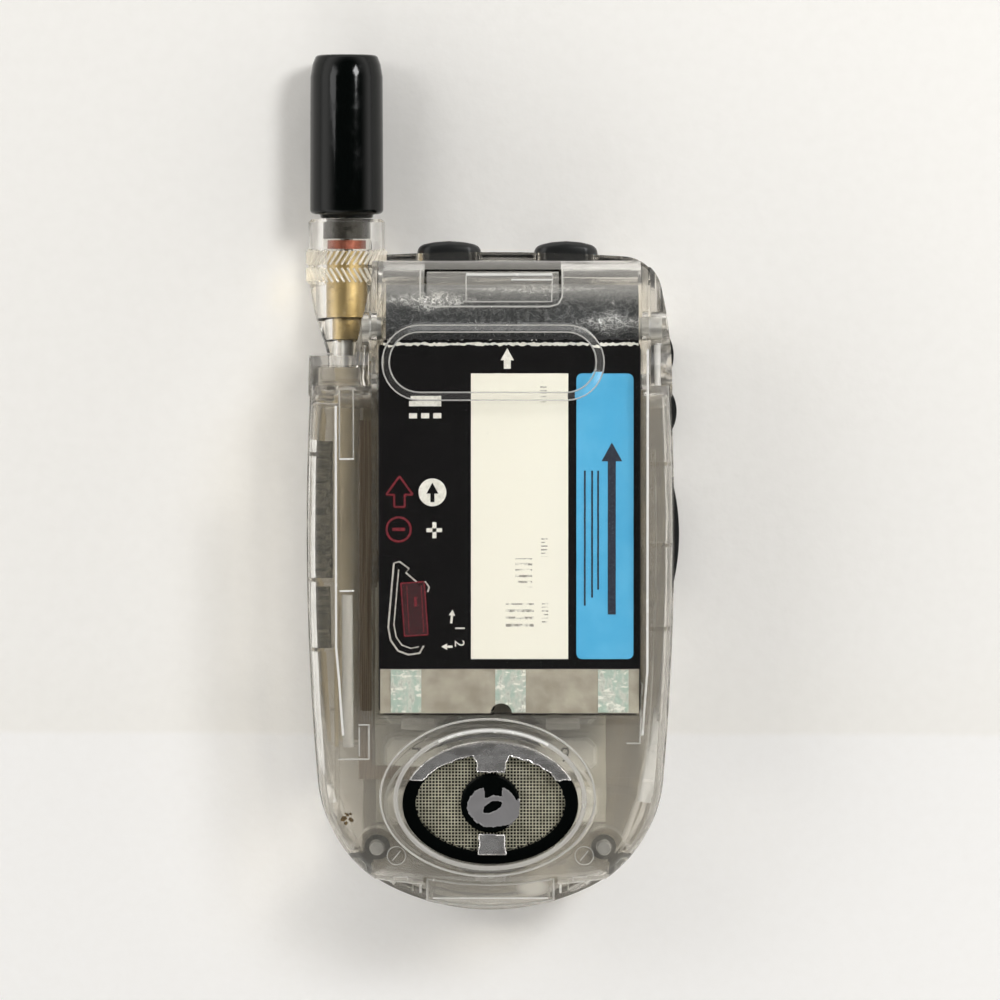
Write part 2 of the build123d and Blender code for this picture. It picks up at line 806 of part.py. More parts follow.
def turned(label, *sections):
    """Pieces turned about the antenna's line, from (start, end, bore radius, outer radius)."""
    with BuildPart() as block:
        with BuildSketch(mast_plane):
            for start, end, inner, outer in sections:
                panel_between((start, inner), (end, outer))
        revolve(axis=mast_axis)
    keep(block, label)


insert_start, insert_end = 33.0, 41.2
ring_start = 30.2
throat = rod_r + rod_play

with BuildPart() as antenna_collar:
    revolve(collar_side(), axis=mast_axis)
    with Locations(Plane(origin=(mast_x, shoulder_end + 0.1, mast_z), z_dir=(0, -1, 0))):
        Cylinder(shank_r, 2 * wall + 0.1, align=(Align.CENTER, Align.CENTER, Align.MIN))
    # Two rows of ribs that lean opposite ways.
    grip_mid = (grip_start + grip_end) / 2
    rib_l = (grip_end - grip_start) / 2
    for row_y, lean in ((grip_mid - rib_l / 2, 25), (grip_mid + rib_l / 2, -25)):
        for index in range(grip_ribs):
            turn = Location((mast_x, row_y, mast_z), (0, 360 * index / grip_ribs, 0))
            with Locations(turn * Location((0, 0, collar_r - 0.25), (0, 0, lean))):
                Box(0.5, rib_l, 0.5)
    with BuildSketch(mast_plane):
        panel_between((0, 0), (ring_start, tube_bore + 0.03))
        panel_between((ring_start, 0), (insert_start, 1.9))
        panel_between((insert_start, 0), (insert_end + 0.2, collar_bore))
        panel_between((insert_end + 0.2, 0), (far, collar_bore + 0.4))
    revolve(axis=mast_axis, mode=Mode.SUBTRACT)
keep(antenna_collar, "antenna_collar")

turned(
    "antenna_insert",
    (ring_start, insert_start, throat, 1.85),
    (insert_start, insert_end, throat, collar_bore - 0.05),
)
turned("antenna_copper_ring", (insert_end + 0.3, insert_end + 1.4, throat, 2.45))
turned("antenna_steel_ring", (insert_end + 1.6, collar_end - 0.2, throat, collar_bore + 0.35))
turned("antenna_tube", (tube_end, shoulder_end - 2 * wall, tube_bore, tube_r))
turned("antenna_rod", (stop_end + stop_l, cap_start + 2.0, 0.0, rod_r))
turned("antenna_stop", (stop_end, stop_end + stop_l, 0.0, stop_r))

with BuildPart() as antenna_cap:
    with BuildSketch(mast_plane):
        with BuildLine():
            Polyline(
                (cap_start - 0.5, 0),
                (cap_start - 0.5, cap_neck_r),
                (cap_start, cap_neck_r),
                (cap_start, cap_r - 0.4),
                (cap_start + 0.4, cap_r),
                (cap_end - 3.2, cap_r),
                (cap_end - 0.4, cap_tip_r),
                (cap_end, cap_tip_r - 0.5),
                (cap_end, 0),
                (cap_start - 0.5, 0),
            )
        make_face()
    revolve(axis=mast_axis)
    with BuildSketch(mast_plane):
        panel_between((0, 0), (cap_start + 2.0, rod_r))
    revolve(axis=mast_axis, mode=Mode.SUBTRACT)
keep(antenna_cap, "antenna_cap")

with BuildPart() as antenna_contact:
    box_between((-13.0, 25.2, end_board_z + end_board_t), (-11.0, 27.6, end_board_z + end_board_t + 0.4))
    box_between((-16.0, 25.2, mast_z - 1.5), (-15.6, 27.0, mast_z + 1.5))
    box_between((-16.0, 25.2, end_board_z + end_board_t), (-11.0, 27.0, end_board_z + end_board_t + 0.4))
    box_between((-16.0, 25.2, end_board_z + end_board_t), (-15.6, 27.0, mast_z + 1.5))
keep(antenna_contact, "antenna_contact")

# ================================================================ lid shell
emblem_lean = math.degrees(math.asin((axis_y - emblem_y) / lid_top_r))
emblem_plane = Plane(
    origin=(0, emblem_y, lid_face_z(emblem_y)),
    x_dir=(1, 0, 0),
    z_dir=(0, -math.sin(math.radians(emblem_lean)), math.cos(math.radians(emblem_lean))),
)
lid_screws_at = [(side * lid_screw_x, lid_screw_y) for side in (-1, 1)]
bay_left = battery_left - bay_gap
bay_right = battery_right + bay_gap
cover_z = lid_z + cover_drop
cover_top = cover_z + inner_cover_t

cover_end = axis_y - barrel_r - 0.2
door_pivot_z = lid_face_z(door_end)

with BuildPart() as lid_hollow:
    add(lid_form(lid_skin))
    with BuildSketch():
        add(lid_plan(lid_wall))
    extrude(amount=far, mode=Mode.INTERSECT)
    for x0, x1 in ((-far, barrel_left), (barrel_right, far)):
        rod_across(x0, x1, trough_r + lid_wall, mode=Mode.SUBTRACT)
        box_between((x0, lid_wrap_end - lid_wall, 0), (x1, far, far), mode=Mode.SUBTRACT)
    # The battery tray stands in the hollow; under it the hollow runs on into the barrel.
    box_between(
        (barrel_left, battery_end - bay_gap - lid_wall, tray_z), (barrel_right, far, far), mode=Mode.SUBTRACT
    )
    box_between((-far, cover_end, 0), (far, far, cover_top), mode=Mode.SUBTRACT)
    for x0, x1 in ((barrel_left, barrel_left + lid_wall), (barrel_right - lid_wall, barrel_right)):
        box_between((x0, cover_end, 0), (x1, far, far), mode=Mode.SUBTRACT)
    # Long rib and short webs in the margins beside the battery.
    rib_left = margin_rib_x - rib_t / 2
    box_between((rib_left, -far, cover_top), (rib_left + rib_t, far, far), mode=Mode.SUBTRACT)
    for web_y in left_web_y:
        box_between((-far, web_y, cover_top), (rib_left, web_y + rib_t, far), mode=Mode.SUBTRACT)
    for web_y in right_web_y:
        box_between((barrel_right - rib_t, web_y, cover_top), (far, web_y + rib_t, far), mode=Mode.SUBTRACT)
    # Wall round the notch for the chin's block, and slotted posts beside the screws.
    with BuildSketch():
        add(block_plan(part_gap + lid_wall))
    extrude(amount=far, mode=Mode.SUBTRACT)
    with Locations((-post_x, post_y, cover_top), (post_x, post_y, cover_top)):
        Cylinder(post_r, far, align=(Align.CENTER, Align.CENTER, Align.MIN), mode=Mode.SUBTRACT)
    # Columns behind the emblem and round the screws.
    with BuildSketch(emblem_plane.offset(-emblem_boss)):
        Ellipse(bezel_w / 2, bezel_h / 2 + 0.6)
    extrude(amount=far, mode=Mode.SUBTRACT)
    with Locations(*[(x, y, cover_top) for x, y in lid_screws_at]):
        Cylinder(
            lid_well_r + 0.7, far, align=(Align.CENTER, Align.CENTER, Align.MIN), mode=Mode.SUBTRACT
        )

with BuildPart() as door_seat:
    with BuildSketch(Plane.XY.offset(axis_z)):
        add(door_plan(seat_gap))
    extrude(amount=far)
    add(lid_form(door_t + 0.05), mode=Mode.SUBTRACT)

with BuildPart() as lid_wide:
    add(lid_form())
    with BuildSketch():
        add(lid_plan())
        panel_between((-far, -far), (far, lid_wrap_end), mode=Mode.INTERSECT)
    extrude(amount=far, mode=Mode.INTERSECT)
    top_face = lid_wide.faces().sort_by(Axis.Z)[-1]
    rim = top_face.edges().filter_by(lambda e: abs(e.center().Y - lid_wrap_end) > 0.01)
    fillet(rim, lid_round)
    for x0, x1 in ((-far, barrel_left), (barrel_right, far)):
        rod_across(x0, x1, trough_r, mode=Mode.SUBTRACT)

with BuildPart() as lid_shell:
    # Middle strip with the hinge barrel, then the wide part on both sides of it.
    add(lid_form())
    with BuildSketch():
        add(lid_plan())
        panel_between((barrel_left, lid_wrap_end - 6), (barrel_right, far), mode=Mode.INTERSECT)
    extrude(amount=far, mode=Mode.INTERSECT)
    add(lid_wide.part)
    add(lid_hollow.part, mode=Mode.SUBTRACT)
    # Battery bay, the seat of its door and the open margin beside the tray.
    box_between(
        (bay_left, battery_end - bay_gap, axis_z), (bay_right, far, far), mode=Mode.SUBTRACT
    )
    add(door_seat.part, mode=Mode.SUBTRACT)
    box_between(
        (door_left + ledge, door_end + ledge, door_pivot_z - lid_skin - 0.6),
        (barrel_left, lid_wrap_end - 2.2, far),
        mode=Mode.SUBTRACT,
    )
    for side in (-1, 1):
        middle = side * tab_x
        box_between(
            (middle - tab_w / 2 - 0.3, door_end - tab_reach - 0.3, door_pivot_z - door_t - 0.75),
            (middle + tab_w / 2 + 0.3, battery_end, door_pivot_z - door_t + tab_t + 0.1),
            mode=Mode.SUBTRACT,
        )
    # Notch for the chin's block, snap slots in the end wall and the slots in the posts.
    with BuildSketch():
        add(block_plan(part_gap))
    extrude(amount=far, mode=Mode.SUBTRACT)
    with Locations((-snap_x, snap_y, lid_z), (snap_x, snap_y, lid_z)):
        Box(
            snap_w, snap_t, snap_h, align=(Align.CENTER, Align.CENTER, Align.MIN), mode=Mode.SUBTRACT
        )
    with Locations((-post_x, post_y, cover_top), (post_x, post_y, cover_top)):
        Box(
            post_slot,
            2 * post_r + 0.2,
            4.0,
            align=(Align.CENTER, Align.CENTER, Align.MIN),
            mode=Mode.SUBTRACT,
        )
    # Holes for the hinge pins.
    with Locations(Plane(origin=(barrel_right, axis_y, axis_z), z_dir=(1, 0, 0))):
        Hole(pin_r + pin_play, depth=barrel_right - barrel_left)
    # Raised rim of the emblem, its pocket and the opening behind the mesh.
    with BuildSketch(emblem_plane.offset(-0.5)):
        Ellipse(bezel_w / 2, bezel_h / 2)
    with BuildSketch(emblem_plane.offset(bezel_rise)):
        Ellipse(bezel_w / 2 - bezel_slope, bezel_h / 2 - bezel_slope)
    loft()
    with BuildSketch(emblem_plane.offset(-ring_drop - ring_t - mesh_t)):
        Ellipse(ring_w / 2 + 0.1, ring_h / 2 + 0.1)
    extrude(amount=5, mode=Mode.SUBTRACT)
    with BuildSketch(emblem_plane):
        Ellipse(mesh_w / 2 - mesh_lap, mesh_h / 2 - mesh_lap)
    extrude(amount=-emblem_boss - 1, mode=Mode.SUBTRACT)
    # Screw wells from the inner side.
    with Locations(*[(x, y, cover_top) for x, y in lid_screws_at]):
        Cylinder(lid_well_r, 2.5, align=(Align.CENTER, Align.CENTER, Align.MIN), mode=Mode.SUBTRACT)
        Cylinder(0.85, 6.0, align=(Align.CENTER, Align.CENTER, Align.MIN), mode=Mode.SUBTRACT)
keep(lid_shell, "lid_shell")

with BuildPart() as lid_inner_cover:
    with BuildSketch(Plane.XY.offset(cover_z)):
        add(lid_plan(lid_wall + seat_gap))
        panel_between((-far, -far), (far, cover_end - seat_gap), mode=Mode.INTERSECT)
    extrude(amount=inner_cover_t)
    for x0, x1 in ((-far, barrel_left + seat_gap), (barrel_right - seat_gap, far)):
        rod_across(x0, x1, trough_r + lid_wall + seat_gap, mode=Mode.SUBTRACT)
    with BuildSketch(Plane.XY.offset(cover_z)):
        with Locations((0, emblem_y)):
            with GridLocations(0, 2.2, 1, 3):
                SlotOverall(6.0, 1.0)
        add(block_plan(part_gap + lid_wall + seat_gap))
    extrude(amount=inner_cover_t, mode=Mode.SUBTRACT)
    with Locations(*[Plane(origin=(x, y, cover_z), z_dir=(0, 0, -1)) for x, y in lid_screws_at]):
        CounterBoreHole(1.0, 1.75, 0.6)
keep(lid_inner_cover, "lid_inner_cover")

with BuildPart() as lid_screws:
    with Locations(*[(x, y, cover_z + 0.02) for x, y in lid_screws_at]):
        Cylinder(1.6, 0.58, align=(Align.CENTER, Align.CENTER, Align.MIN))
        Cylinder(0.8, 6.4, align=(Align.CENTER, Align.CENTER, Align.MIN))
    for x, y in lid_screws_at:
        with Locations((x, y, cover_z)):
            Box(1.8, 0.4, 0.6, mode=Mode.SUBTRACT)
            Box(0.4, 1.8, 0.6, mode=Mode.SUBTRACT)
keep(lid_screws, "lid_screws")

with BuildPart() as lid_flex:
    # Ribbon from the hinge down the margin and across to the earpiece.
    flex_right = barrel_left - seat_gap
    with BuildSketch(Plane.XY.offset(cover_top)):
        panel_between((flex_right - flex_w, flex_turn_y - flex_w), (flex_right, lid_wrap_end - 4.5))
        panel_between((flex_right - flex_w, flex_turn_y - flex_w), (-earpiece_r, flex_turn_y))
    extrude(amount=flex_t)
keep(lid_flex, "lid_flex")

# ================================================================ battery
battery_top = axis_z + battery_h
film_top = battery_top + film


def cell_end(radius, x0, x1):
    """The battery's round end about the hinge axis, from its shoulder at cell_y."""
    with BuildPart() as end:
        with BuildSketch(Plane.YZ.offset(x0)):
            with BuildLine():
                bend = CenterArc((axis_y, axis_z), radius, 0, 90)
                Polyline(bend @ 1, (cell_y, axis_z + radius), (cell_y, axis_z), bend @ 0)
            make_face()
        extrude(amount=x1 - x0)
    return end.part


with BuildPart() as battery_pack:
    box_between((battery_left, battery_end, axis_z), (battery_right, cell_y, battery_top))
    fillet(battery_pack.edges().filter_by(Axis.Z), 0.8)
    with Locations((notch_x, battery_end, axis_z)):
        Cylinder(
            notch_r, battery_h, align=(Align.CENTER, Align.CENTER, Align.MIN), mode=Mode.SUBTRACT
        )
    add(cell_end(battery_h, cell_left, cell_right))
keep(battery_pack, "battery_pack")

with BuildPart() as battery_foil:
    add(cell_end(battery_h + foil, cell_left, cell_right))
    add(cell_end(battery_h, cell_left, cell_right), mode=Mode.SUBTRACT)
keep(battery_foil, "battery_foil")

with BuildPart() as battery_label:
    box_between(
        (battery_left + 0.1, label_end, battery_top), (battery_right - 0.1, cell_y - 0.05, film_top)
    )
keep(battery_label, "battery_label")

with BuildPart() as battery_strip:
    box_between(
        (battery_left + 0.2, battery_end + 0.1, battery_top),
        (battery_right - 0.2, label_end - 0.1, film_top),
    )
    with Locations((notch_x, battery_end, battery_top)):
        Cylinder(notch_r, film, align=(Align.CENTER, Align.CENTER, Align.MIN), mode=Mode.SUBTRACT)
keep(battery_strip, "battery_strip")

with BuildPart() as battery_pads:
    for middle in pad_x:
        box_between(
            (middle - pad_w / 2, battery_end + 0.2, film_top),
            (middle + pad_w / 2, label_end - 0.15, film_top + 0.1),
        )
    with Locations((notch_x, battery_end, battery_top)):
        Cylinder(notch_r, 1, align=(Align.CENTER, Align.CENTER, Align.MIN), mode=Mode.SUBTRACT)
keep(battery_pads, "battery_pads")

# ================================================================ battery door
with BuildPart() as battery_door:
    with BuildSketch(Plane.XY.offset(axis_z)):
        add(door_plan())
    extrude(amount=far)
    add(lid_form(), mode=Mode.INTERSECT)
    add(lid_form(door_t), mode=Mode.SUBTRACT)
    # Finger recess.
    with BuildSketch(Plane.XY.offset(axis_z + barrel_r - finger_depth)):
        with Locations((finger_x, finger_y)):
            SlotOverall(finger_w - 2 * finger_rim, finger_h - 2 * finger_rim)
    slope = math.degrees(math.atan(finger_rim / finger_depth))
    extrude(amount=finger_depth + 0.05, taper=-slope, mode=Mode.SUBTRACT)
    # Slits that free the latch tongue on three sides.
    tongue_left = finger_x - tongue_w / 2
    tongue_right = finger_x + tongue_w / 2
    for low, high in (
        ((tongue_left, tongue_y), (tongue_left + tongue_slit, tongue_end)),
        ((tongue_right - tongue_slit, tongue_y), (tongue_right, tongue_end)),
        ((tongue_left, tongue_end - tongue_slit), (tongue_right, tongue_end)),
    ):
        box_between((*low, axis_z), (*high, far), mode=Mode.SUBTRACT)
    # Hooks at the lower edge.
    for side in (-1, 1):
        middle = side * tab_x
        box_between(
            (middle - tab_w / 2, door_end - tab_reach, door_pivot_z - door_t),
            (middle + tab_w / 2, door_end + 0.4, door_pivot_z - door_t + tab_t),
        )
keep(battery_door, "battery_door")

# ================================================================ speaker emblem and earpiece
ring_top = emblem_plane.offset(-ring_drop)
ring_base = emblem_plane.offset(-ring_drop - ring_t)

with BuildPart() as speaker_ring:
    with BuildSketch(ring_base):
        Ellipse(ring_w / 2, ring_h / 2)
        Ellipse(mesh_w / 2, mesh_h / 2, mode=Mode.SUBTRACT)
    extrude(amount=ring_t)
keep(speaker_ring, "speaker_ring")

with BuildPart() as speaker_mesh:
    with BuildSketch(ring_base):
        Ellipse(mesh_w / 2 + mesh_lap, mesh_h / 2 + mesh_lap)
    extrude(amount=-mesh_t)
keep(speaker_mesh, "speaker_mesh")

with BuildPart() as speaker_disc:
    with BuildSketch(ring_base):
        Circle(disc_r)
    extrude(amount=ring_t)
    chamfer(speaker_disc.edges().group_by(Axis.Z)[-1], 0.2)
keep(speaker_disc, "speaker_disc")

with BuildPart() as speaker_bridge:
    with BuildSketch(ring_top):
        Ellipse(ring_w / 2 - 0.1, ring_h / 2 - 0.1)
        Ellipse(ring_w / 2 - crest_w, ring_h / 2 - crest_w, mode=Mode.SUBTRACT)
        panel_between((-far, disc_r - 0.8), (far, far), mode=Mode.INTERSECT)
        panel_between((-bridge_w / 2, disc_r - 0.8), (bridge_w / 2, ring_h / 2 - 0.6))
        panel_between((-bridge_w / 2, -ring_h / 2 + 0.4), (bridge_w / 2, 0.8 - disc_r))
    extrude(amount=bridge_t)
keep(speaker_bridge, "speaker_bridge")

with BuildPart() as earpiece:
    with Locations((0, emblem_y, cover_top)):
        Cylinder(earpiece_r, earpiece_t, align=(Align.CENTER, Align.CENTER, Align.MIN))
    chamfer(earpiece.edges().sort_by(Axis.Z)[-1], 0.6)
keep(earpiece, "earpiece")

os.makedirs("parts", exist_ok=True)
for piece in pieces:
    export_step(piece, f"parts/{piece.label}.step")
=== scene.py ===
import math
import random

import bmesh
import bpy
from mathutils import Matrix, Vector, noise


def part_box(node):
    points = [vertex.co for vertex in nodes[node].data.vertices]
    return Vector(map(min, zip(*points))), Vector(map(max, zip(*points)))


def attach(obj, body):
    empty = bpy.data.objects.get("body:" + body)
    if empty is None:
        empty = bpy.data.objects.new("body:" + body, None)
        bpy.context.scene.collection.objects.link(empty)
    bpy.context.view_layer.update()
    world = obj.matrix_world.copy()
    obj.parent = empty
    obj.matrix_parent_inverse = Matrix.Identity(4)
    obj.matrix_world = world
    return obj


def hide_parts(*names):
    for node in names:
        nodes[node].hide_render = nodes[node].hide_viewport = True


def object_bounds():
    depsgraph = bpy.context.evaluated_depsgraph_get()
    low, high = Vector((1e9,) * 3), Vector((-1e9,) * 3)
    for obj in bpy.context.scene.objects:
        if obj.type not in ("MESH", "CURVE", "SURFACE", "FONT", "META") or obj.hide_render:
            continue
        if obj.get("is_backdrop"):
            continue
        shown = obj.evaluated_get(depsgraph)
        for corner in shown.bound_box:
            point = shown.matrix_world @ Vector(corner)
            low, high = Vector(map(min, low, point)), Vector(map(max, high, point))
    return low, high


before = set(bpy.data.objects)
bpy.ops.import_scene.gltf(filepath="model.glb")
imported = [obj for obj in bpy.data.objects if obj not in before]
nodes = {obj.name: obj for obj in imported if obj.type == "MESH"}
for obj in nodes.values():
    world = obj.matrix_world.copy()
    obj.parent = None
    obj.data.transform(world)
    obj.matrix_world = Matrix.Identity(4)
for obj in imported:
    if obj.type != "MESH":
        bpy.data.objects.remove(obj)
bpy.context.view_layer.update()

mm = 0.001

# ---------------------------------------------------------------- camera
# The phone is seen from the outside of its lid, from a little past the hinge end,
# with the antenna at the top of the frame.
view_tilt = math.radians(2.0)
view_distance = 800 * mm
view_width = 125.4 * mm
view_centre = Vector((1.2, 10.0, 16.0)) * mm
away = Vector((0, math.sin(view_tilt), math.cos(view_tilt)))

camera = bpy.data.objects.new("camera", bpy.data.cameras.new("camera"))
bpy.context.scene.collection.objects.link(camera)
camera.data.lens = camera.data.sensor_width * view_distance / view_width
camera.data.clip_start = 0.01
camera.location = view_centre + away * view_distance
turn_back = Matrix(((1, 0, 0), (0, away.z, away.y), (0, -away.y, away.z)))
camera.rotation_euler = turn_back.to_euler()
bpy.context.scene.camera = camera
bpy.context.scene.view_settings.view_transform = "Standard"

# ---------------------------------------------------------------- light and floor
# One broad soft lamp over the phone's right shoulder, weaker ones on the left and at its
# free end, and a room light that is dark overhead. The clear walls lie many deep, so a ray
# of light may pass through a lot of them.
paths = bpy.context.scene.cycles
paths.max_bounces = 32
paths.transmission_bounces = 32
paths.glossy_bounces = 12
paths.transparent_max_bounces = 64

lamps = {
    "key_lamp": ((0.27, 0.24, 0.45), 0.13, 1.25),
    "side_lamp": ((-0.42, 0.22, 0.46), 0.20, 0.46),
    "end_lamp": ((0.05, -0.50, 0.42), 0.30, 0.44),
}
for name, (place, width, watts) in lamps.items():
    lamp = bpy.data.objects.new(name, bpy.data.lights.new(name, "AREA"))
    bpy.context.scene.collection.objects.link(lamp)
    lamp.data.size = width
    lamp.data.energy = watts
    lamp.location = place
    lamp.rotation_euler = (-Vector(place)).to_track_quat("-Z", "Y").to_euler()
    lamp.visible_transmission = False


class Wire:
    """One output of a material's nodes. Sums on wires add Math nodes."""

    def __init__(self, finish, socket):
        self.finish = finish
        self.socket = socket

    def math(self, operation, *values):
        return self.finish.node("Math", {"operation": operation}, values)

    def __add__(self, other):
        return self.math("ADD", self, other)

    def __sub__(self, other):
        return self.math("SUBTRACT", self, other)

    def __rsub__(self, other):
        return self.math("SUBTRACT", other, self)

    def __mul__(self, other):
        return self.math("MULTIPLY", self, other)

    def __truediv__(self, other):
        return self.math("DIVIDE", self, other)

    def __lt__(self, other):
        return self.math("LESS_THAN", self, other)

    def __gt__(self, other):
        return self.math("GREATER_THAN", self, other)

    def __abs__(self):
        return self.math("ABSOLUTE", self)

    __radd__ = __add__
    __rmul__ = __mul__

    def wave(self):
        return self.math("SINE", self)

    def power(self, exponent):
        return self.math("POWER", self, exponent)

    def larger(self, other):
        return self.math("MAXIMUM", self, other)

    def at_most_one(self):
        return self.math("MINIMUM", self, 1.0)

    def ramp(self, start, end, low=0.0, high=1.0):
        """Runs smoothly from low to high while the wire goes from start to end."""
        limits = {"From Min": start, "From Max": end, "To Min": low, "To Max": high}
        return self.finish.node("MapRange", {"interpolation_type": "SMOOTHSTEP"}, {"Value": self, **limits})


class Finish:
    """A material built round one Principled shader. Lengths inside it are millimetres."""

    def __init__(self, name, tree=None, **values):
        if tree is None:
            self.material = bpy.data.materials.new(name)
            self.material.use_nodes = True
            tree = self.material.node_tree
        self.tree = tree
        self.shader = tree.nodes.get("Principled BSDF")
        for socket, value in values.items():
            self.feed(socket.replace("_", " "), value)

    def feed(self, socket, value):
        """Gives one of the main shader's sockets a value or a wire."""
        self.plug(self.shader.inputs[socket], value)

    def plug(self, socket, value):
        if isinstance(value, Wire):
            self.tree.links.new(value.socket, socket)
        elif hasattr(value, "__len__") and len(value) == 3 and socket.type == "RGBA":
            socket.default_value = (*value, 1)
        else:
            socket.default_value = value

    def node(self, kind, settings=(), inputs=(), output=0):
        made = self.tree.nodes.new("ShaderNode" + kind)
        for key, value in dict(settings).items():
            setattr(made, key, value)
        pairs = inputs.items() if isinstance(inputs, dict) else enumerate(inputs)
        for key, value in pairs:
            self.plug(made.inputs[key], value)
        return Wire(self, made.outputs[output])

    def place(self, stretch=(1, 1, 1)):
        """Where a point lies on the object, in millimetres, each way multiplied by stretch."""
        point = self.node("TexCoord", output="Object")
        scale = [1000 * s for s in stretch]
        return self.node("VectorMath", {"operation": "MULTIPLY"}, (point, scale))

    def sides(self):
        """The same place as three wires: x, y, z."""
        point = self.place()
        return [self.node("SeparateXYZ", inputs=(point,), output=axis) for axis in range(3)]

    def noise(self, per_mm, detail=3.0, stretch=(1, 1, 1), rough=0.5):
        values = {"Vector": self.place(stretch), "Scale": per_mm, "Detail": detail, "Roughness": rough}
        return self.node("TexNoise", inputs=values)

    def mix(self, mask, first, second):
        """Colour that goes from first to second as mask goes from 0 to 1."""
        return self.node("Mix", {"data_type": "RGBA"}, {0: mask, 6: first, 7: second}, output=2)

    def colour(self, mask, first, second):
        """Base colour that goes from first to second as mask goes from 0 to 1."""
        self.feed("Base Color", self.mix(mask, first, second))

    def bump(self, height, depth_mm, strength=1.0):
        """Raises the surface by depth_mm where height is 1."""
        values = {"Strength": strength, "Distance": depth_mm * mm, "Height": height}
        self.feed("Normal", self.node("Bump", inputs=values))


def srgb(red, green, blue):
    """Colour from its screen values, 0 to 255."""
    return [(v / 255) ** 2.2 for v in (red, green, blue)]


shaded_wall_white = srgb(249, 247, 242)
table_white = srgb(254, 253, 251)
table_line_y = -20.5
floor_half = 1.5

bpy.ops.object.select_all(action="DESELECT")
bpy.ops.mesh.primitive_plane_add(size=2 * floor_half, location=(0, 0, -0.05 * mm))
floor = bpy.context.object
floor.name = "floor"
painted = Finish("floor_paint", Roughness=0.85)
across, along, up = painted.sides()
uneven = painted.noise(0.02, 2.0)
# Beyond table_line_y the floor stands for the wall behind the phone. It is painted a little darker than the
# table: painted shade, darkest at the corner and lighter away from it.
shaded_wall_mask = (along + uneven * 1.5 - table_line_y - 0.75).ramp(-0.6, 0.6)
corner_shade_fade = (along - table_line_y).ramp(-1.2, 14.0)
tone = painted.mix(shaded_wall_mask * (1.0 - corner_shade_fade * 0.35), table_white, shaded_wall_white)
smears = painted.noise(0.6, 4.0).ramp(0.2, 0.9) * 0.06
painted.colour(smears, tone, srgb(205, 200, 190))
painted.bump(painted.noise(0.5, 5.0), 0.12, 0.5)
floor.data.materials.append(painted.material)
floor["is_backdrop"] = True

world = bpy.data.worlds.new("room")
world.use_nodes = True
world.cycles.sampling_method = "NONE"
bpy.context.scene.world = world
room = Finish("room", tree=world.node_tree)
direction = room.node("TexCoord", output="Generated")
lift = room.node("SeparateXYZ", inputs=(direction,), output=2)
side = room.node("SeparateXYZ", inputs=(direction,), output=0)
glow = lift.ramp(0.0, 0.25, 0.95, 1.8) * (lift + side * 0.12).ramp(0.25, 0.80, 1.0, 0.02)
seen = room.node("LightPath", output="Is Camera Ray")
backdrop = room.node("Background", inputs={"Color": shaded_wall_white, "Strength": 1.0})
light = room.node("Background", inputs={"Color": (1.0, 0.98, 0.95), "Strength": glow})
blend = room.node("MixShader", inputs={0: seen, 1: light, 2: backdrop})
room.tree.links.new(blend.socket, room.tree.nodes["World Output"].inputs["Surface"])

# ---------------------------------------------------------------- clear casing of the base
# Rear and front housing, injection-moulded in clear plastic that has gone a smoky
# warm grey, and screwed together face to face.
frost_and_glow_white = srgb(226, 223, 214)


def clear_plastic(name, tint, seams=(), haze=0.0, scuffs=0.5, frost_and_glow=None):
    """Moulded clear plastic: solid glass-like walls, faint ripples, dust and fine scratches.

    Where two mouldings are pressed together, at the heights in seams, light goes on
    straight from one into the other. The last argument tells how white the skin is at x, y, z:
    partly milky plastic, partly painted glow of thick clear walls.
    """
    made = Finish(name, Base_Color=tint, IOR=1.49, Transmission_Weight=1.0 - haze)
    dust = made.noise(2.2, 6.0, rough=0.7).ramp(0.55, 0.80)
    scratch = made.noise(1.2, 3.0, stretch=(0.3, 6.0, 1.0)).ramp(0.62, 0.70)
    made.feed("Roughness", 0.03 + dust * (0.22 * scuffs) + scratch * (0.12 * scuffs))
    ripples = made.noise(0.16, 2.0)
    made.bump(ripples + scratch * 0.01, 0.25, 0.35)
    skin = Wire(made, made.shader.outputs[0])
    if frost_and_glow:
        dull = made.node("BsdfDiffuse", inputs=(frost_and_glow_white,))
        skin = made.node("MixShader", inputs={0: frost_and_glow(*made.sides()), 1: skin, 2: dull})
    # Lamps shine through the walls, so that the inside is lit.
    straight = made.node("LightPath", output="Is Shadow Ray")
    height = made.sides()[2]
    for seam in seams:
        straight = straight.larger(abs(height - seam) < 0.01)
    shade = made.node("BsdfTransparent", inputs=([v**0.5 for v in tint],))
    both = made.node("MixShader", inputs={0: straight, 1: skin, 2: shade})
    made.tree.links.new(both.socket, made.tree.nodes["Material Output"].inputs["Surface"])
    return made.material


def dress(material, *names):
    """Gives CAD nodes their finish."""
    for name in names:
        nodes[name].data.materials.clear()
        nodes[name].data.materials.append(material)


smoky_tint = (0.925, 0.91, 0.88)
base_seam = 7.0
window_seam = 12.0
block_half, block_top = 8.1, -37.2
glint_spot = (5.2, -38.4)
free_end_y = -27.0
side_x = 20.6


def base_frost(x, y, z):
    """The base is milky white round its free end. On its chin block and along its long sides it is
    whiter with painted glow of the thick clear walls, and the block has a painted highlight spot.
    """
    block = (block_half - abs(x)).ramp(0.0, 0.2) * (block_top - y).ramp(0.0, 0.4, 0.0, 0.12)
    glint_x, glint_y = glint_spot
    from_glint = (((x - glint_x) * 0.75).power(2) + ((y - glint_y) * 1.3).power(2)).power(0.5)
    glint = from_glint.ramp(1.9, 0.6, 0.0, 0.35)
    free_end = (free_end_y - y).ramp(0.0, 9.0, 0.0, 0.12)
    long_sides = (abs(x) - side_x).ramp(0.0, 0.8, 0.0, 0.05)
    return block + glint + free_end + long_sides


base_seams = (base_seam, window_seam)
base_plastic = clear_plastic("clear_casing", smoky_tint, base_seams, haze=0.02, frost_and_glow=base_frost)
dress(base_plastic, "rear_housing", "front_housing")

# ---------------------------------------------------------------- hinge pins and screws
# Plain steel pins that the lid turns on, and slotted steel screws that hold the two
# base housings together.


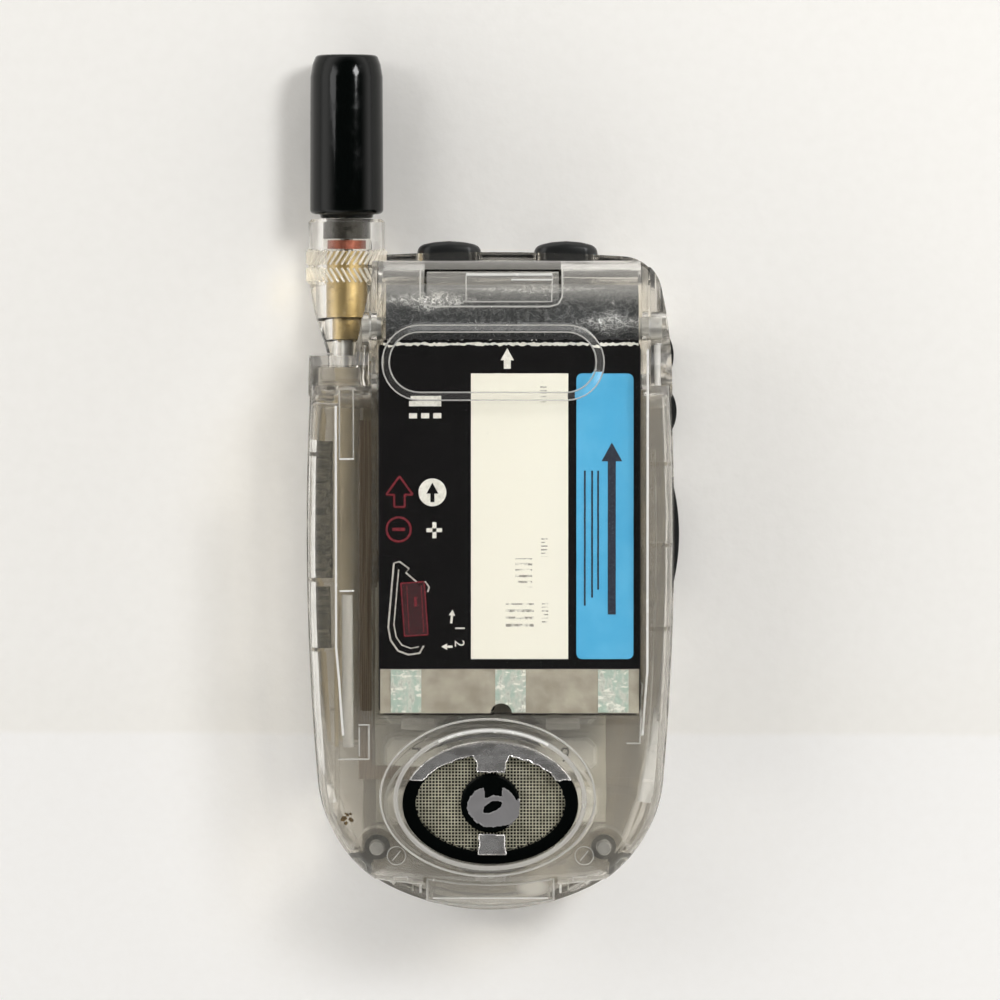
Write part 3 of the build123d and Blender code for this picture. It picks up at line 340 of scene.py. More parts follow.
def metal(name, colour, rough=0.3, grain=(1, 1, 1), wear=0.15):
    """Bare or plated metal with fine grain and dull spots."""
    made = Finish(name, Metallic=1.0)
    spots = made.noise(1.1, 4.0, rough=0.6).ramp(0.45, 0.75)
    lines = made.noise(3.0, 2.0, stretch=grain)
    made.colour(spots * wear, colour, [0.45 * c for c in colour])
    made.feed("Roughness", rough + spots * wear + lines * 0.08)
    made.bump(lines, 0.02, 0.4)
    return made.material


steel = metal("steel", (0.60, 0.60, 0.58), grain=(0.4, 6, 6))
dress(steel, "hinge_pins", "housing_screws")

# ---------------------------------------------------------------- circuit boards
# Sand-coloured lacquered boards with faint runs and dull pads. The main board hangs under the
# front plate; the small end board lies on the floor by the hinge.
board = Finish("board", Coat_Weight=0.6, Coat_Roughness=0.1)
across, along, up = board.sides()
runs = board.noise(0.55, 0.0, stretch=(1.0, 0.15, 1.0)).ramp(0.47, 0.50) * 0.5
runs = runs + board.noise(0.55, 0.0, stretch=(0.15, 1.0, 1.0)).ramp(0.50, 0.53) * 0.5
pad_grid = (across * 2.6).wave() * (along * 2.6).wave()
pads = pad_grid.ramp(0.80, 0.84) * board.noise(0.14, 1.0).ramp(0.52, 0.56)
lacquer = board.mix(runs, srgb(108, 102, 89), srgb(130, 123, 108))
board.colour(pads, lacquer, srgb(190, 176, 140))
board.feed("Metallic", pads * 0.7)
board.feed("Roughness", 0.38 - pads * 0.15)
board.bump(runs + pads, 0.04)
dress(board.material, "main_board", "end_board")

tin = metal("tinned_sheet", (0.72, 0.71, 0.68), 0.32, (5, 5, 1), 0.2)
dress(tin, "board_shields", "microphone")

# ---------------------------------------------------------------- key domes and display
# A milky film with a pressed dome under each key, and the display with its grey-green
# glass behind a clear window.
film = Finish("dome_film", Roughness=0.4, Subsurface_Weight=0.2, Subsurface_Radius=(1 * mm,) * 3)
across, along, up = film.sides()
dome_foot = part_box("key_dome_sheet")[0].z / mm + 0.27
pressed = (up - dome_foot).ramp(0.0, 0.1)
film.colour(pressed, (0.66, 0.66, 0.60), (0.74, 0.73, 0.70))
film.feed("Metallic", pressed * 0.8)
film.bump(film.noise(1.5, 3.0), 0.05, 0.4)
dress(film.material, "key_dome_sheet")

glass_low, glass_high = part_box("display_module")
display = Finish("display", Roughness=0.12, Coat_Weight=0.8)
across, along, up = display.sides()
border = 2.4
middle_y = (glass_low.y + glass_high.y) / 2 / mm
half_x = glass_high.x / mm - border
half_y = (glass_high.y - glass_low.y) / 2 / mm - border
outside = (abs(across) - half_x).larger(abs(along - middle_y) - half_y)
dots = ((across * 18).wave() * (along * 18).wave()).ramp(-0.2, 0.9)
pane = display.mix(dots * 0.25, (0.20, 0.25, 0.17), (0.14, 0.18, 0.12))
display.colour(outside.ramp(-0.05, 0.05), pane, (0.55, 0.55, 0.52))
dress(display.material, "display_module")

window = clear_plastic("window", (0.86, 0.87, 0.86), (window_seam,), scuffs=0.2)
dress(window, "display_window")

# ---------------------------------------------------------------- keys
# Fifteen milky keys with printed signs. Each key is its CAD node; the sign is a thin
# layer of ink on it.
ink = Finish("ink", Base_Color=(0.03, 0.03, 0.035), Roughness=0.45)
ink.bump(ink.noise(6.0, 3.0), 0.01)
milky_key = Finish("key_plastic", Roughness=0.42, Subsurface_Weight=0.3, Subsurface_Radius=(1.2 * mm,) * 3)
worn = milky_key.noise(0.9, 4.0).ramp(0.45, 0.8)
milky_key.colour(worn * 0.35, (0.72, 0.72, 0.68), (0.56, 0.54, 0.48))
milky_key.bump(milky_key.noise(5.0, 3.0), 0.02)

ink_t = 0.03 * mm
sign_height = 2.6 * mm


def settle(piece, name, material, body, slot, *replaced):
    """Names a finished piece, puts its place into its mesh and fixes it to its body."""
    bpy.ops.object.select_all(action="DESELECT")
    piece.select_set(True)
    bpy.context.view_layer.objects.active = piece
    bpy.ops.object.transform_apply()
    piece.name = name
    piece.data.materials.clear()
    piece.data.materials.append(material)
    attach(piece, body)
    if replaced:
        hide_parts(*replaced)
    return piece


def lettering(sign, height, place, turn=0.0, thick=ink_t):
    """A printed sign as a thin solid: centred on place, facing out of the lid."""
    bpy.ops.object.select_all(action="DESELECT")
    bpy.ops.object.text_add(location=place, rotation=(0, 0, turn))
    text = bpy.context.object
    text.data.body = sign
    text.data.size = height
    text.data.align_x = "CENTER"
    text.data.align_y = "CENTER"
    text.data.extrude = thick / 2
    text.data.resolution_u = 3
    bpy.ops.object.convert(target="MESH")
    return bpy.context.object


signs = {"send_key": "<", "menu_key": "=", "end_key": ">", "key_star": "*", "key_hash": "#"}
signs.update({f"key_{digit}": str(digit) for digit in range(10)})
for key, sign in signs.items():
    dress(milky_key.material, key)
    key_low, key_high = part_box(key)
    middle = (key_low + key_high) / 2
    inked = lettering(sign, sign_height, (middle.x, middle.y, key_high.z + ink_t / 2))
    settle(inked, f"{key}_sign", ink.material, key, "key_plastic")

# ---------------------------------------------------------------- side keys
# Three lens-shaped rubber keys in slots of the right side, pressed inwards. Lint clings
# to the rubber.
rubber = Finish("black_rubber", IOR=1.45)
lint = rubber.noise(2.5, 5.0, rough=0.7).ramp(0.58, 0.80)
rubber.colour(lint * 0.5, (0.008, 0.009, 0.009), (0.06, 0.06, 0.055))
rubber.feed("Roughness", 0.36 + lint * 0.3)
rubber.bump(rubber.noise(4.0, 4.0), 0.03, 0.5)
dress(rubber.material, "volume_up_key", "volume_down_key", "side_call_key")

# ---------------------------------------------------------------- light bezel and headset plug
# Two like rubber ovals in the hinge end, moulded with a dished top. The left one frames
# the status light, and the right one is a stopper in the headset socket.
oval_low, oval_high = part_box("status_light_bezel")
oval_width = oval_high.x - oval_low.x
oval_height = oval_high.z - oval_low.z
straight = (oval_width - oval_height) / 2
# The dished tops stand crown_drop lower than the solids' flat ones. Of oval_depth, the
# length of the whole button, the rounded top takes oval_dome.
crown_drop = 0.1 * mm
oval_depth = 2.8 * mm
oval_dome = 1.15 * mm


def choose_faces(piece, wanted):
    """In edit mode, selects only the faces whose centre and normal pass the test."""
    bpy.ops.mesh.select_mode(type="FACE")
    shape = bmesh.from_edit_mesh(piece.data)
    for face in shape.faces:
        face.select_set(wanted(face.calc_center_median(), face.normal))
    bmesh.update_edit_mesh(piece.data)


def draw_out(move, scale, centre):
    """Extrudes the selected faces by move and scales them about centre."""
    bpy.ops.mesh.extrude_region_move(TRANSFORM_OT_translate={"value": move})
    bpy.ops.transform.resize(value=scale, center_override=centre)


def soften(piece, width, segments=3, angle=35.0):
    """Rounds the edges of a finished shape and smooths its shading."""
    bpy.ops.object.mode_set(mode="OBJECT")
    edges = piece.modifiers.new("edges", "BEVEL")
    edges.width = width
    edges.segments = segments
    edges.angle_limit = math.radians(angle)
    edges.use_clamp_overlap = True
    bpy.ops.object.modifier_apply(modifier="edges")
    bpy.ops.object.shade_smooth_by_angle(angle=math.radians(40))


def weld(pieces):
    """Joins finished shapes into the first of them."""
    bpy.ops.object.select_all(action="DESELECT")
    for piece in pieces:
        piece.select_set(True)
    bpy.context.view_layer.objects.active = pieces[0]
    bpy.ops.object.join()
    return pieces[0]


def rubber_oval(node, end_rise):
    """An oval button: a round bar pulled apart to an oval and rounded off on top.

    Its two ends stand out by end_rise more than its middle, or less where that is negative.
    """
    low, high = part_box(node)
    high.y -= crown_drop
    flange_end = high.y - oval_depth
    middle = Vector(((low.x + high.x) / 2, 0, (low.z + high.z) / 2))
    depth = oval_depth - oval_dome
    bpy.ops.object.select_all(action="DESELECT")
    bpy.ops.mesh.primitive_cylinder_add(
        vertices=48,
        radius=oval_height / 2,
        depth=depth,
        location=(middle.x, flange_end + depth / 2, middle.z),
        rotation=(math.pi / 2, 0, 0),
    )
    bpy.ops.object.transform_apply()
    piece = bpy.context.object
    for corner in piece.data.vertices:
        offset = corner.co.x - middle.x
        if abs(offset) > 0.01 * mm:
            corner.co.x += math.copysign(straight, offset)
    bpy.ops.object.mode_set(mode="EDIT")
    choose_faces(piece, lambda centre, normal: normal.y > 0.9)
    top = Vector((middle.x, high.y, middle.z))
    # Each ring's step outwards in millimetres, and its shares of the last ring's width and height.
    for step, wide, high_share in (
        (0.35, 1.0, 1.0),
        (0.30, 0.985, 0.97),
        (0.25, 0.965, 0.93),
        (0.17, 0.94, 0.88),
        (0.08, 0.91, 0.82),
        (0.0, 0.88, 0.74),
        (-0.12, 0.90, 0.80),
        (-0.05, 0.80, 0.50),
    ):
        draw_out((0, step * mm, 0), (wide, 1, high_share), top)
    bpy.ops.object.mode_set(mode="OBJECT")
    for corner in piece.data.vertices:
        if corner.co.y > high.y - 1.2 * mm:
            reach = abs(corner.co.x - middle.x) / (oval_width / 2)
            corner.co.y += end_rise * reach**2
    soften(piece, 0.12 * mm)
    return piece


light_frame = rubber_oval("status_light_bezel", -0.65 * mm)
settle(light_frame, "light_frame", rubber.material, "base", "black_rubber", "status_light_bezel")

stopper = rubber_oval("headset_plug", -0.75 * mm)
stem_low, stem_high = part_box("headset_plug")
stem_middle = (stem_low + stem_high) / 2
stem_end = stem_middle.y + 1.0 * mm
bpy.ops.object.select_all(action="DESELECT")
bpy.ops.mesh.primitive_cylinder_add(
    vertices=32,
    radius=1.2 * mm,
    depth=stem_end - stem_low.y,
    location=(stem_middle.x, (stem_low.y + stem_end) / 2, stem_middle.z),
    rotation=(math.pi / 2, 0, 0),
)
stem = bpy.context.object
bpy.ops.object.transform_apply()
soften(stem, 0.3 * mm)
stopper = weld([stopper, stem])
settle(stopper, "headset_stopper", rubber.material, "headset_plug", "black_rubber", "headset_plug")

# The status light's pale lens stands in its slot, a little below the rubber.
lens = Finish("light_lens", Base_Color=(0.80, 0.78, 0.70), Roughness=0.25, Subsurface_Weight=0.4)
lens.feed("Subsurface Radius", (1.0 * mm, 1.0 * mm, 0.8 * mm))
lens.bump(lens.noise(3.0, 2.0), 0.02)
dress(lens.material, "status_light_lens")

black_plastic = Finish("black_plastic", Base_Color=(0.018, 0.018, 0.018))
black_plastic.feed("Roughness", 0.42 + black_plastic.noise(1.5, 4.0) * 0.2)
black_plastic.bump(black_plastic.noise(5.0, 3.0), 0.03)
dress(black_plastic.material, "headset_jack", "dock_connector", "earpiece")

# ---------------------------------------------------------------- vibration motor
# A tinned can on the floor of the chin, with an off-centre steel weight on its shaft that
# shakes the phone as it turns.
dress(tin, "vibration_motor")
dress(steel, "motor_weight")

# ---------------------------------------------------------------- antenna
# A beige tube down the left side takes the rod. The clear collar screws into the
# shoulder and holds a brass insert, a copper ring and a steel ring.
tube = Finish("tube_plastic", Roughness=0.45)
stain = tube.noise(0.25, 4.0, stretch=(1, 0.4, 1)).ramp(0.35, 0.75)
tube.colour(stain, srgb(196, 186, 160), srgb(160, 147, 120))
tube.bump(tube.noise(2.0, 3.0), 0.03)
dress(tube.material, "antenna_tube")

brass = metal("brass", (0.50, 0.38, 0.18), 0.34, (1, 0.2, 1), 0.35)
copper = metal("copper", (0.34, 0.12, 0.08), 0.38, (1, 4, 1), 0.3)
dark_steel = metal("dark_steel", (0.07, 0.066, 0.058), 0.40, (1, 5, 1), 0.6)
dress(brass, "antenna_contact", "antenna_insert", "antenna_stop")
dress(copper, "antenna_copper_ring")
dress(dark_steel, "antenna_steel_ring")
dress(steel, "antenna_rod")

rod_low, rod_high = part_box("antenna_rod")
mast = (rod_low + rod_high) / 2
collar = clear_plastic("collar_plastic", (0.975, 0.965, 0.94), scuffs=0.3)
dress(collar, "antenna_collar")

# The pull-off cap is turned from glossy black plastic: straight, then tapered to a
# rounded tip with a shallow recess, and necked in where it meets the collar.
gloss = Finish("black_gloss", Base_Color=(0.0012, 0.002, 0.0018), IOR=1.33)
smear = gloss.noise(0.5, 5.0, rough=0.65).ramp(0.45, 0.8)
gloss.feed("Roughness", 0.10 + smear * 0.16)
gloss.bump(gloss.noise(1.6, 4.0), 0.012, 0.5)



def face_outwards():
    """In edit mode, turns every face of the piece outwards."""
    bpy.ops.mesh.select_all(action="SELECT")
    bpy.ops.mesh.normals_make_consistent(inside=False)


cap_low, cap_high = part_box("antenna_cap")
cap_radius = (cap_high.x - cap_low.x) / 2
cap_neck = 0.72
bpy.ops.object.select_all(action="DESELECT")
bpy.ops.mesh.primitive_circle_add(
    vertices=96,
    radius=cap_neck * cap_radius,
    fill_type="NGON",
    location=(mast.x, cap_low.y, mast.z),
    rotation=(-math.pi / 2, 0, 0),
)
bpy.ops.object.transform_apply()
cap = bpy.context.object
bpy.ops.object.mode_set(mode="EDIT")
choose_faces(cap, lambda centre, normal: True)
reached = cap_neck
# Each ring's step outwards in millimetres, and its radius as a share of the cap's.
for step, share in (
    (0.5, cap_neck),
    (0.0, 0.91),
    (0.35, 1.0),
    (2.0, 1.0),
    (15.0, 0.985),
    (1.6, 0.93),
    (1.1, 0.84),
    (0.1, 0.76),
    (0.0, 0.60),
    (-0.35, 0.52),
):
    factor = share / reached
    draw_out((0, step * mm, 0), (factor, 1, factor), (mast.x, 0, mast.z))
    reached = share
face_outwards()
soften(cap, 0.3 * mm, 4, 18.0)
settle(cap, "antenna_grip_cap", gloss.material, "antenna", "black_gloss", "antenna_cap")

# ---------------------------------------------------------------- grip ribs of the collar
# Two rows of slim ribs, moulded on the collar, that lean opposite ways like a
# herringbone. One rib is shaped and copied round.
rib_count = 40
rib_length, rib_width, rib_rise = 2.15 * mm, 0.34 * mm, 0.42 * mm
rib_foot = 4.72 * mm
rib_rows = ((38.2 * mm, 32.0), (40.4 * mm, -32.0))

bpy.ops.object.select_all(action="DESELECT")
bpy.ops.mesh.primitive_cube_add(size=1, location=(0, 0, 0))
bpy.ops.transform.resize(value=(rib_width, rib_length, rib_rise), center_override=(0, 0, 0))
rib = bpy.context.object
bpy.ops.object.transform_apply()
bpy.ops.object.mode_set(mode="EDIT")
choose_faces(rib, lambda centre, normal: normal.z > 0.9)
bpy.ops.transform.resize(value=(0.45, 0.86, 1), center_override=(0, 0, 0))
soften(rib, 0.05 * mm, 2, 20.0)

ribs = []
for row_y, lean in rib_rows:
    for index in range(rib_count):
        copy = rib.copy()
        copy.data = rib.data.copy()
        bpy.context.scene.collection.objects.link(copy)
        leaning = Matrix.Rotation(math.radians(lean), 4, "Z")
        stand = Matrix.Translation((0, 0, rib_foot + rib_rise / 2)) @ leaning
        round_mast = Matrix.Rotation(2 * math.pi * index / rib_count, 4, "Y")
        copy.data.transform(Matrix.Translation((mast.x, row_y, mast.z)) @ round_mast @ stand)
        ribs.append(copy)
bpy.data.objects.remove(rib)
rib_plastic = clear_plastic("rib_plastic", (0.98, 0.95, 0.88), haze=0.35, scuffs=0.2)
settle(weld(ribs), "collar_grip_ribs", rib_plastic, "base", "clear_casing")

# ---------------------------------------------------------------- lid
# The lid's clear shell carries the battery tray, the hinge barrel and the emblem. Its
# inner cover closes it towards the keys and is held by two screws. A brown flexible
# circuit runs down the margin to the earpiece.
lid_seam = 14.5
door_seam = 17.0
low_end_y, chin_y, right_side_x = -13.0, -33.5, 18.6


def lid_frost(x, y, z):
    """The lid's skin is milky white towards its free end. At the chin and along the right side it
    is whiter with painted glow of thick clear walls.
    """
    low_end = (low_end_y - y).ramp(0.0, 7.0, 0.006, 0.075)
    chin = (chin_y - y).ramp(0.0, 4.0, 0.0, 0.07)
    right = (x - right_side_x).ramp(0.0, 0.8, 0.0, 0.06)
    return low_end + chin + right


lid_seams = (lid_seam, door_seam)
lid_plastic = clear_plastic("clear_lid", smoky_tint, lid_seams, haze=0.015, frost_and_glow=lid_frost)
dress(lid_plastic, "lid_shell", "lid_inner_cover")
dress(steel, "lid_screws")

flex = Finish("flex_film", Roughness=0.3, Coat_Weight=0.3)
lines = flex.noise(1.2, 0.0, stretch=(6, 0.05, 1)).ramp(0.4, 0.6)
flex.colour(lines, srgb(98, 86, 72), srgb(122, 110, 94))
flex.bump(lines, 0.02)
dress(flex.material, "lid_flex")

# ---------------------------------------------------------------- battery
# A flat cell in a black case. The lower edge carries a milky strip with three bright
# iridescent pads over its contacts.
case = Finish("battery_case", Base_Color=(0.02, 0.02, 0.022))
case.feed("Roughness", 0.4 + case.noise(1.2, 4.0) * 0.2)
case.bump(case.noise(3.0, 3.0), 0.008)
dress(case.material, "battery_pack")

strip = Finish("milky_plastic", Roughness=0.28, Subsurface_Weight=0.2, Subsurface_Radius=(1 * mm,) * 3)
cloud = strip.noise(0.35, 4.0).ramp(0.3, 0.7)
strip.colour(cloud, srgb(176, 170, 156), srgb(150, 143, 130))
strip.bump(strip.noise(1.2, 3.0), 0.04)
dress(strip.material, "battery_strip")

pad = Finish("iridescent_film", Metallic=0.2)
streak = pad.noise(0.9, 4.0, stretch=(1.6, 0.7, 1.0), rough=0.6)
rainbow = pad.mix(streak.ramp(0.40, 0.60), srgb(205, 208, 198), srgb(178, 196, 184))
glints = pad.noise(1.3, 3.0, stretch=(0.7, 1.5, 1.0)).ramp(0.55, 0.64)
pad.colour(glints, rainbow, srgb(236, 236, 226))
pad.feed("Roughness", 0.18 + streak * 0.25)
pad.bump(pad.noise(1.6, 4.0), 0.10)
dress(pad.material, "battery_pads")

# ---------------------------------------------------------------- battery label
# A black paper label, torn along its upper edge, with printed plates: a white field for a
# stamp, a blue field with dark rules and a long arrow, and small plain signs that show
# which way the pack goes in.
label = Finish("battery_label", IOR=1.22)
worn = label.noise(1.6, 6.0, rough=0.7).ramp(0.60, 0.85)
label.colour(worn * 0.4, (0.002, 0.0016, 0.002), (0.026, 0.022, 0.022))
label.feed("Roughness", 0.50 + worn * 0.3)
label.bump(label.noise(1.0, 5.0), 0.02)
dress(label.material, "battery_label")

label_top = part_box("battery_label")[1].z
print_t = 0.03 * mm


def printed(name, corners, material, layer=0, round_off=0.0):
    """A printed plate in the outline of corners, in millimetres, on the label."""
    bpy.ops.object.select_all(action="DESELECT")
    xs = [x for x, y in corners]
    ys = [y for x, y in corners]
    middle = Vector(((min(xs) + max(xs)) / 2, (min(ys) + max(ys)) / 2)) * mm
    foot = label_top + layer * print_t
    bpy.ops.mesh.primitive_circle_add(
        vertices=len(corners), radius=1 * mm, fill_type="NGON", location=(middle.x, middle.y, foot)
    )
    bpy.ops.object.transform_apply()
    plate = bpy.context.object
    for corner, (x, y) in zip(plate.data.vertices, corners):
        corner.co = (x * mm, y * mm, foot)
    bpy.ops.object.mode_set(mode="EDIT")
    bpy.ops.mesh.select_all(action="SELECT")
    bpy.ops.mesh.extrude_region_move(TRANSFORM_OT_translate={"value": (0, 0, print_t)})
    face_outwards()
    bpy.ops.object.mode_set(mode="OBJECT")
    if round_off:
        edges = plate.modifiers.new("corners", "BEVEL")
        edges.width = round_off * mm
        edges.segments = 4
        edges.limit_method = "WEIGHT"
        weights = plate.data.attributes.new("bevel_weight_edge", "FLOAT", "EDGE")
        for edge in plate.data.edges:
            first, second = (plate.data.vertices[i].co for i in edge.vertices)
            weights.data[edge.index].value = float(abs(first.z - second.z) > print_t / 2)
        bpy.ops.object.modifier_apply(modifier="corners")
    return settle(plate, name, material, "lid", "battery_label")


def frame_of(left, low, right, high):
    return [(left, low), (right, low), (right, high), (left, high)]


def turned_about(points, centre, degrees):
    """The same outline turned about centre."""
    turn = math.radians(degrees)
    made = []
    for x, y in points:
        dx, dy = x - centre[0], y - centre[1]
        turned_x = dx * math.cos(turn) - dy * math.sin(turn)
        turned_y = dx * math.sin(turn) + dy * math.cos(turn)
        made.append((centre[0] + turned_x, centre[1] + turned_y))
    return made


def arrow(tip, length, head, shaft, degrees=0.0):
    """Outline of a block arrow that points up the label before it is turned about its tip."""
    x, y = tip
    neck = y - min(0.9 * head, 0.6 * length)
    points = [
        (x, y),
        (x - head / 2, neck),
        (x - shaft / 2, neck),
        (x - shaft / 2, y - length),
        (x + shaft / 2, y - length),
        (x + shaft / 2, neck),
        (x + head / 2, neck),
    ]
    return turned_about(points, tip, degrees)


def disc(centre, radius, count=40):
    turns = [2 * math.pi * i / count for i in range(count)]
    return [(centre[0] + radius * math.cos(t), centre[1] + radius * math.sin(t)) for t in turns]


# The white field has faint bars and smudges left of a rubbed-off stamp.
field = Finish("white_field", Roughness=0.42)
across, along, up = field.sides()
smudge = field.noise(1.1, 4.0, rough=0.6)
mark = 0.0
# Left, low, right and high edge of each group of bars, and how closely they follow each other.
for left, low, right, high, fine in (
    (1.9, -5.9, 5.4, -2.6, 7.0),
    (3.1, -0.6, 5.2, 3.0, 8.5),
    (6.4, -5.0, 7.2, -2.4, 14.0),
    (6.3, 3.2, 7.1, 5.6, 14.0),
    (6.2, 22.2, 7.0, 24.4, 14.0),
    (2.2, 23.2, 4.6, 23.6, 3.0),
):
    inside_x = abs(across - (left + right) / 2) < (right - left) / 2
    inside_y = abs(along - (low + high) / 2) < (high - low) / 2
    bars = (along * fine + smudge * 2.0).wave().ramp(0.25, 0.6)
    mark = inside_x * inside_y * bars * smudge.ramp(0.38, 0.60) + mark
dirt = field.noise(0.5, 5.0, rough=0.65).ramp(0.62, 0.80) * 0.25
specks = field.noise(2.4, 2.0).ramp(0.74, 0.78) * 0.5
paper = field.mix(dirt, srgb(235, 232, 219), srgb(206, 200, 184))
stamped = (mark * 0.8 + specks).at_most_one()
field.colour(stamped, paper, srgb(92, 88, 82))
field.bump(field.noise(0.8, 4.0), 0.01)
field_low, field_high = -9.54, 25.97
printed("label_white_field", frame_of(-2.41, field_low, 9.68, field_high), field.material)

blue = Finish("blue_field", Roughness=0.38)
fade = blue.noise(0.25, 5.0, rough=0.6).ramp(0.35, 0.75)
blue.colour(fade * 0.6, srgb(76, 166, 212), srgb(98, 182, 224))
blue.bump(blue.noise(1.2, 4.0), 0.01)
printed("label_blue_field", frame_of(10.7, field_low, 17.8, field_high), blue.material, round_off=0.7)

dark_ink = Finish("dark_ink", Roughness=0.45)
faded = dark_ink.noise(3.0, 4.0).ramp(0.4, 0.8)
dark_ink.colour(faded, (0.012, 0.015, 0.03), (0.03, 0.04, 0.06))
printed("label_long_arrow", arrow((15.1, 17.4), 21.4, 2.6, 1.0), dark_ink.material, layer=1)
rule_half_width, rule_top = 0.11, 13.9
for index, x in enumerate((11.75, 12.65, 13.4)):
    rule = frame_of(x - rule_half_width, -2.9 + index, x + rule_half_width, rule_top)
    printed(f"label_rule_{index + 1}", rule, dark_ink.material, layer=1)

white_ink = Finish("white_ink", Roughness=0.45)
rubbed = white_ink.noise(2.2, 4.0).ramp(0.35, 0.8)
white_ink.colour(rubbed, srgb(232, 230, 222), srgb(205, 202, 192))
signs = {
    "label_up_arrow": arrow((2.1, 29.1), 2.55, 1.66, 0.86),
    "label_plus_bar": frame_of(-7.95, 6.25, -6.0, 6.75),
    "label_plus_post": frame_of(-7.2, 5.5, -6.7, 7.5),
    "label_disc": disc((-7.2, 11.2), 1.73),
    "label_current_bar": frame_of(-10.1, 21.9, -6.1, 22.55),
    "label_current_dash_1": frame_of(-10.1, 20.4, -9.1, 21.05),
    "label_current_dash_2": frame_of(-8.6, 20.4, -7.6, 21.05),
    "label_current_dash_3": frame_of(-7.1, 20.4, -6.1, 21.05),
    "label_first_arrow": arrow((-4.7, -3.4), 1.7, 0.8, 0.28, -6.0),
    "label_second_arrow": arrow((-6.1, -8.0), 1.4, 0.8, 0.28, 90.0),
}
for name, corners in signs.items():
    printed(name, corners, white_ink.material)
printed("label_disc_arrow", arrow((-7.2, 12.4), 2.4, 1.5, 0.5), label.material, layer=1)
for digit, x, y in (("1", -3.85, -5.7), ("2", -3.9, -7.6)):
    sign = lettering(digit, 1.75 * mm, (x * mm, y * mm, label_top + print_t / 2), -math.pi / 2, print_t)
    settle(sign, f"label_digit_{digit}", white_ink.material, "lid", "battery_label")


def line(name, points, width, material, layer=0):
    """A printed line of even width through points."""
    left, right = [], []
    for index, point in enumerate(points):
        before = points[max(index - 1, 0)]
        after = points[min(index + 1, len(points) - 1)]
        way = Vector((after[0] - before[0], after[1] - before[1])).normalized() * (width / 2)
        left.append((point[0] - way.y, point[1] + way.x))
        right.append((point[0] + way.y, point[1] - way.x))
    return printed(name, right + left[::-1], material, layer)


# A small picture of a pack that goes into its tray: pale lines for the tray, dark red
# for the pack.
grey_ink = Finish("grey_ink", Roughness=0.45)
grey_ink.colour(grey_ink.noise(3.0, 3.0).ramp(0.4, 0.7), srgb(196, 192, 184), srgb(150, 146, 140))
red_ink = Finish("red_ink", Roughness=0.45)
red_ink.colour(red_ink.noise(3.0, 3.0).ramp(0.4, 0.7), srgb(122, 30, 42), srgb(84, 20, 32))
red_fill = Finish("red_fill", Roughness=0.5)
red_fill.colour(red_fill.noise(2.0, 4.0).ramp(0.3, 0.7), srgb(40, 10, 16), srgb(58, 14, 22))
tray = [
    (-11.3, 2.6), (-12.0, 2.4), (-12.7, -5.6), (-12.4, -7.2),
    (-11.5, -8.5), (-10.2, -9.0), (-8.8, -8.8), (-8.3, -7.9),
]
inner_tray = [(-11.4, 1.6), (-12.0, -5.3), (-11.7, -6.8), (-11.0, -7.8), (-9.9, -8.2), (-8.9, -8.0)]
line("label_tray_line", tray, 0.22, grey_ink.material)
line("label_inner_tray_line", inner_tray, 0.16, grey_ink.material)
latch = [(-11.3, 2.6), (-10.1, 1.7), (-10.5, 1.2), (-8.6, -0.4), (-8.1, 0.1), (-7.6, -0.6), (-7.8, -1.2)]
line("label_latch_line", latch, 0.2, grey_ink.material)


def outline(corners, name, width, layer):
    """Red lines from corner to corner, all the way round."""
    for index, corner in enumerate(corners):
        after = corners[(index + 1) % len(corners)]
        line(f"{name}_{index + 1}", [corner, after], width, red_ink.material, layer)


pack = turned_about(frame_of(-10.9, -6.6, -8.0, 0.0), (-9.4, -3.3), 4.0)
printed("label_pack", pack, red_fill.material)
outline(pack, "label_pack_edge", 0.16, 1)
line("label_pack_mark", [(-9.3, -1.8), (-9.3, -3.0)], 0.34, red_ink.material, 1)
for index, x in enumerate((-10.4, -8.6)):
    line(f"label_pack_rib_{index + 1}", [(x, -0.4), (x + 0.3, -6.2)], 0.1, red_ink.material, 1)

# Red signs at the label's left edge: an arrow in outline, and a minus in a ring.
outline(arrow((-11.3, 13.2), 3.8, 3.3, 1.3), "label_red_arrow", 0.24, 0)
ring = disc((-11.4, 6.6), 1.5)
line("label_red_ring", ring + ring[:1], 0.26, red_ink.material)
printed("label_minus", frame_of(-12.2, 6.4, -10.6, 6.8), red_ink.material)

# The torn upper edge: a ragged white strip of bare paper and a darker one above it.
torn = random.Random(11)
torn_left, torn_right, torn_steps = -13.3, 18.4, 110
for name, low, high, rough_low, rough_high, material in (
    ("label_torn_paper", 29.45, 29.98, 0.12, 0.24, white_ink.material),
    ("label_torn_black", 29.80, 30.15, 0.10, 0.12, label.material),
):
    steps = [torn_left + (torn_right - torn_left) * i / torn_steps for i in range(torn_steps + 1)]
    lower = [(x, low + torn.uniform(-1, 1) * rough_low) for x in steps]
    upper = [(x, high + torn.uniform(-1, 1) * rough_high) for x in steps[::-1]]
    printed(name, lower + upper, material, layer=1 if "black" in name else 0)

# ---------------------------------------------------------------- battery foil
# Thin silver foil, crumpled over the round end of the battery and pressed on by hand, so
# that creases run all over it. Its colour is painted reflection: dark over most of it, with
# painted highlights on a few patches and along creases.
hinge_y, hinge_z = 31.5 * mm, 17.0 * mm
foil_low, foil_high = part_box("battery_foil")
foil_gap = 0.08 * mm
foil_edge_y = 29.62 * mm
foil_r = foil_high.z - hinge_z - foil_gap
foil_start = math.asin((foil_edge_y - hinge_y) / foil_r)
foil_end = math.pi / 2
foil_columns, foil_rows = 230, 70
fold_rise, fine_rise, dent_rise, foil_sink = 0.03, 0.022, 0.03, 0.035
bpy.ops.object.select_all(action="DESELECT")
bpy.ops.mesh.primitive_grid_add(x_subdivisions=foil_columns, y_subdivisions=foil_rows, size=1)
foil = bpy.context.object
crumple = random.Random(5)
drift = Vector((crumple.uniform(0, 9), crumple.uniform(0, 9), 0))
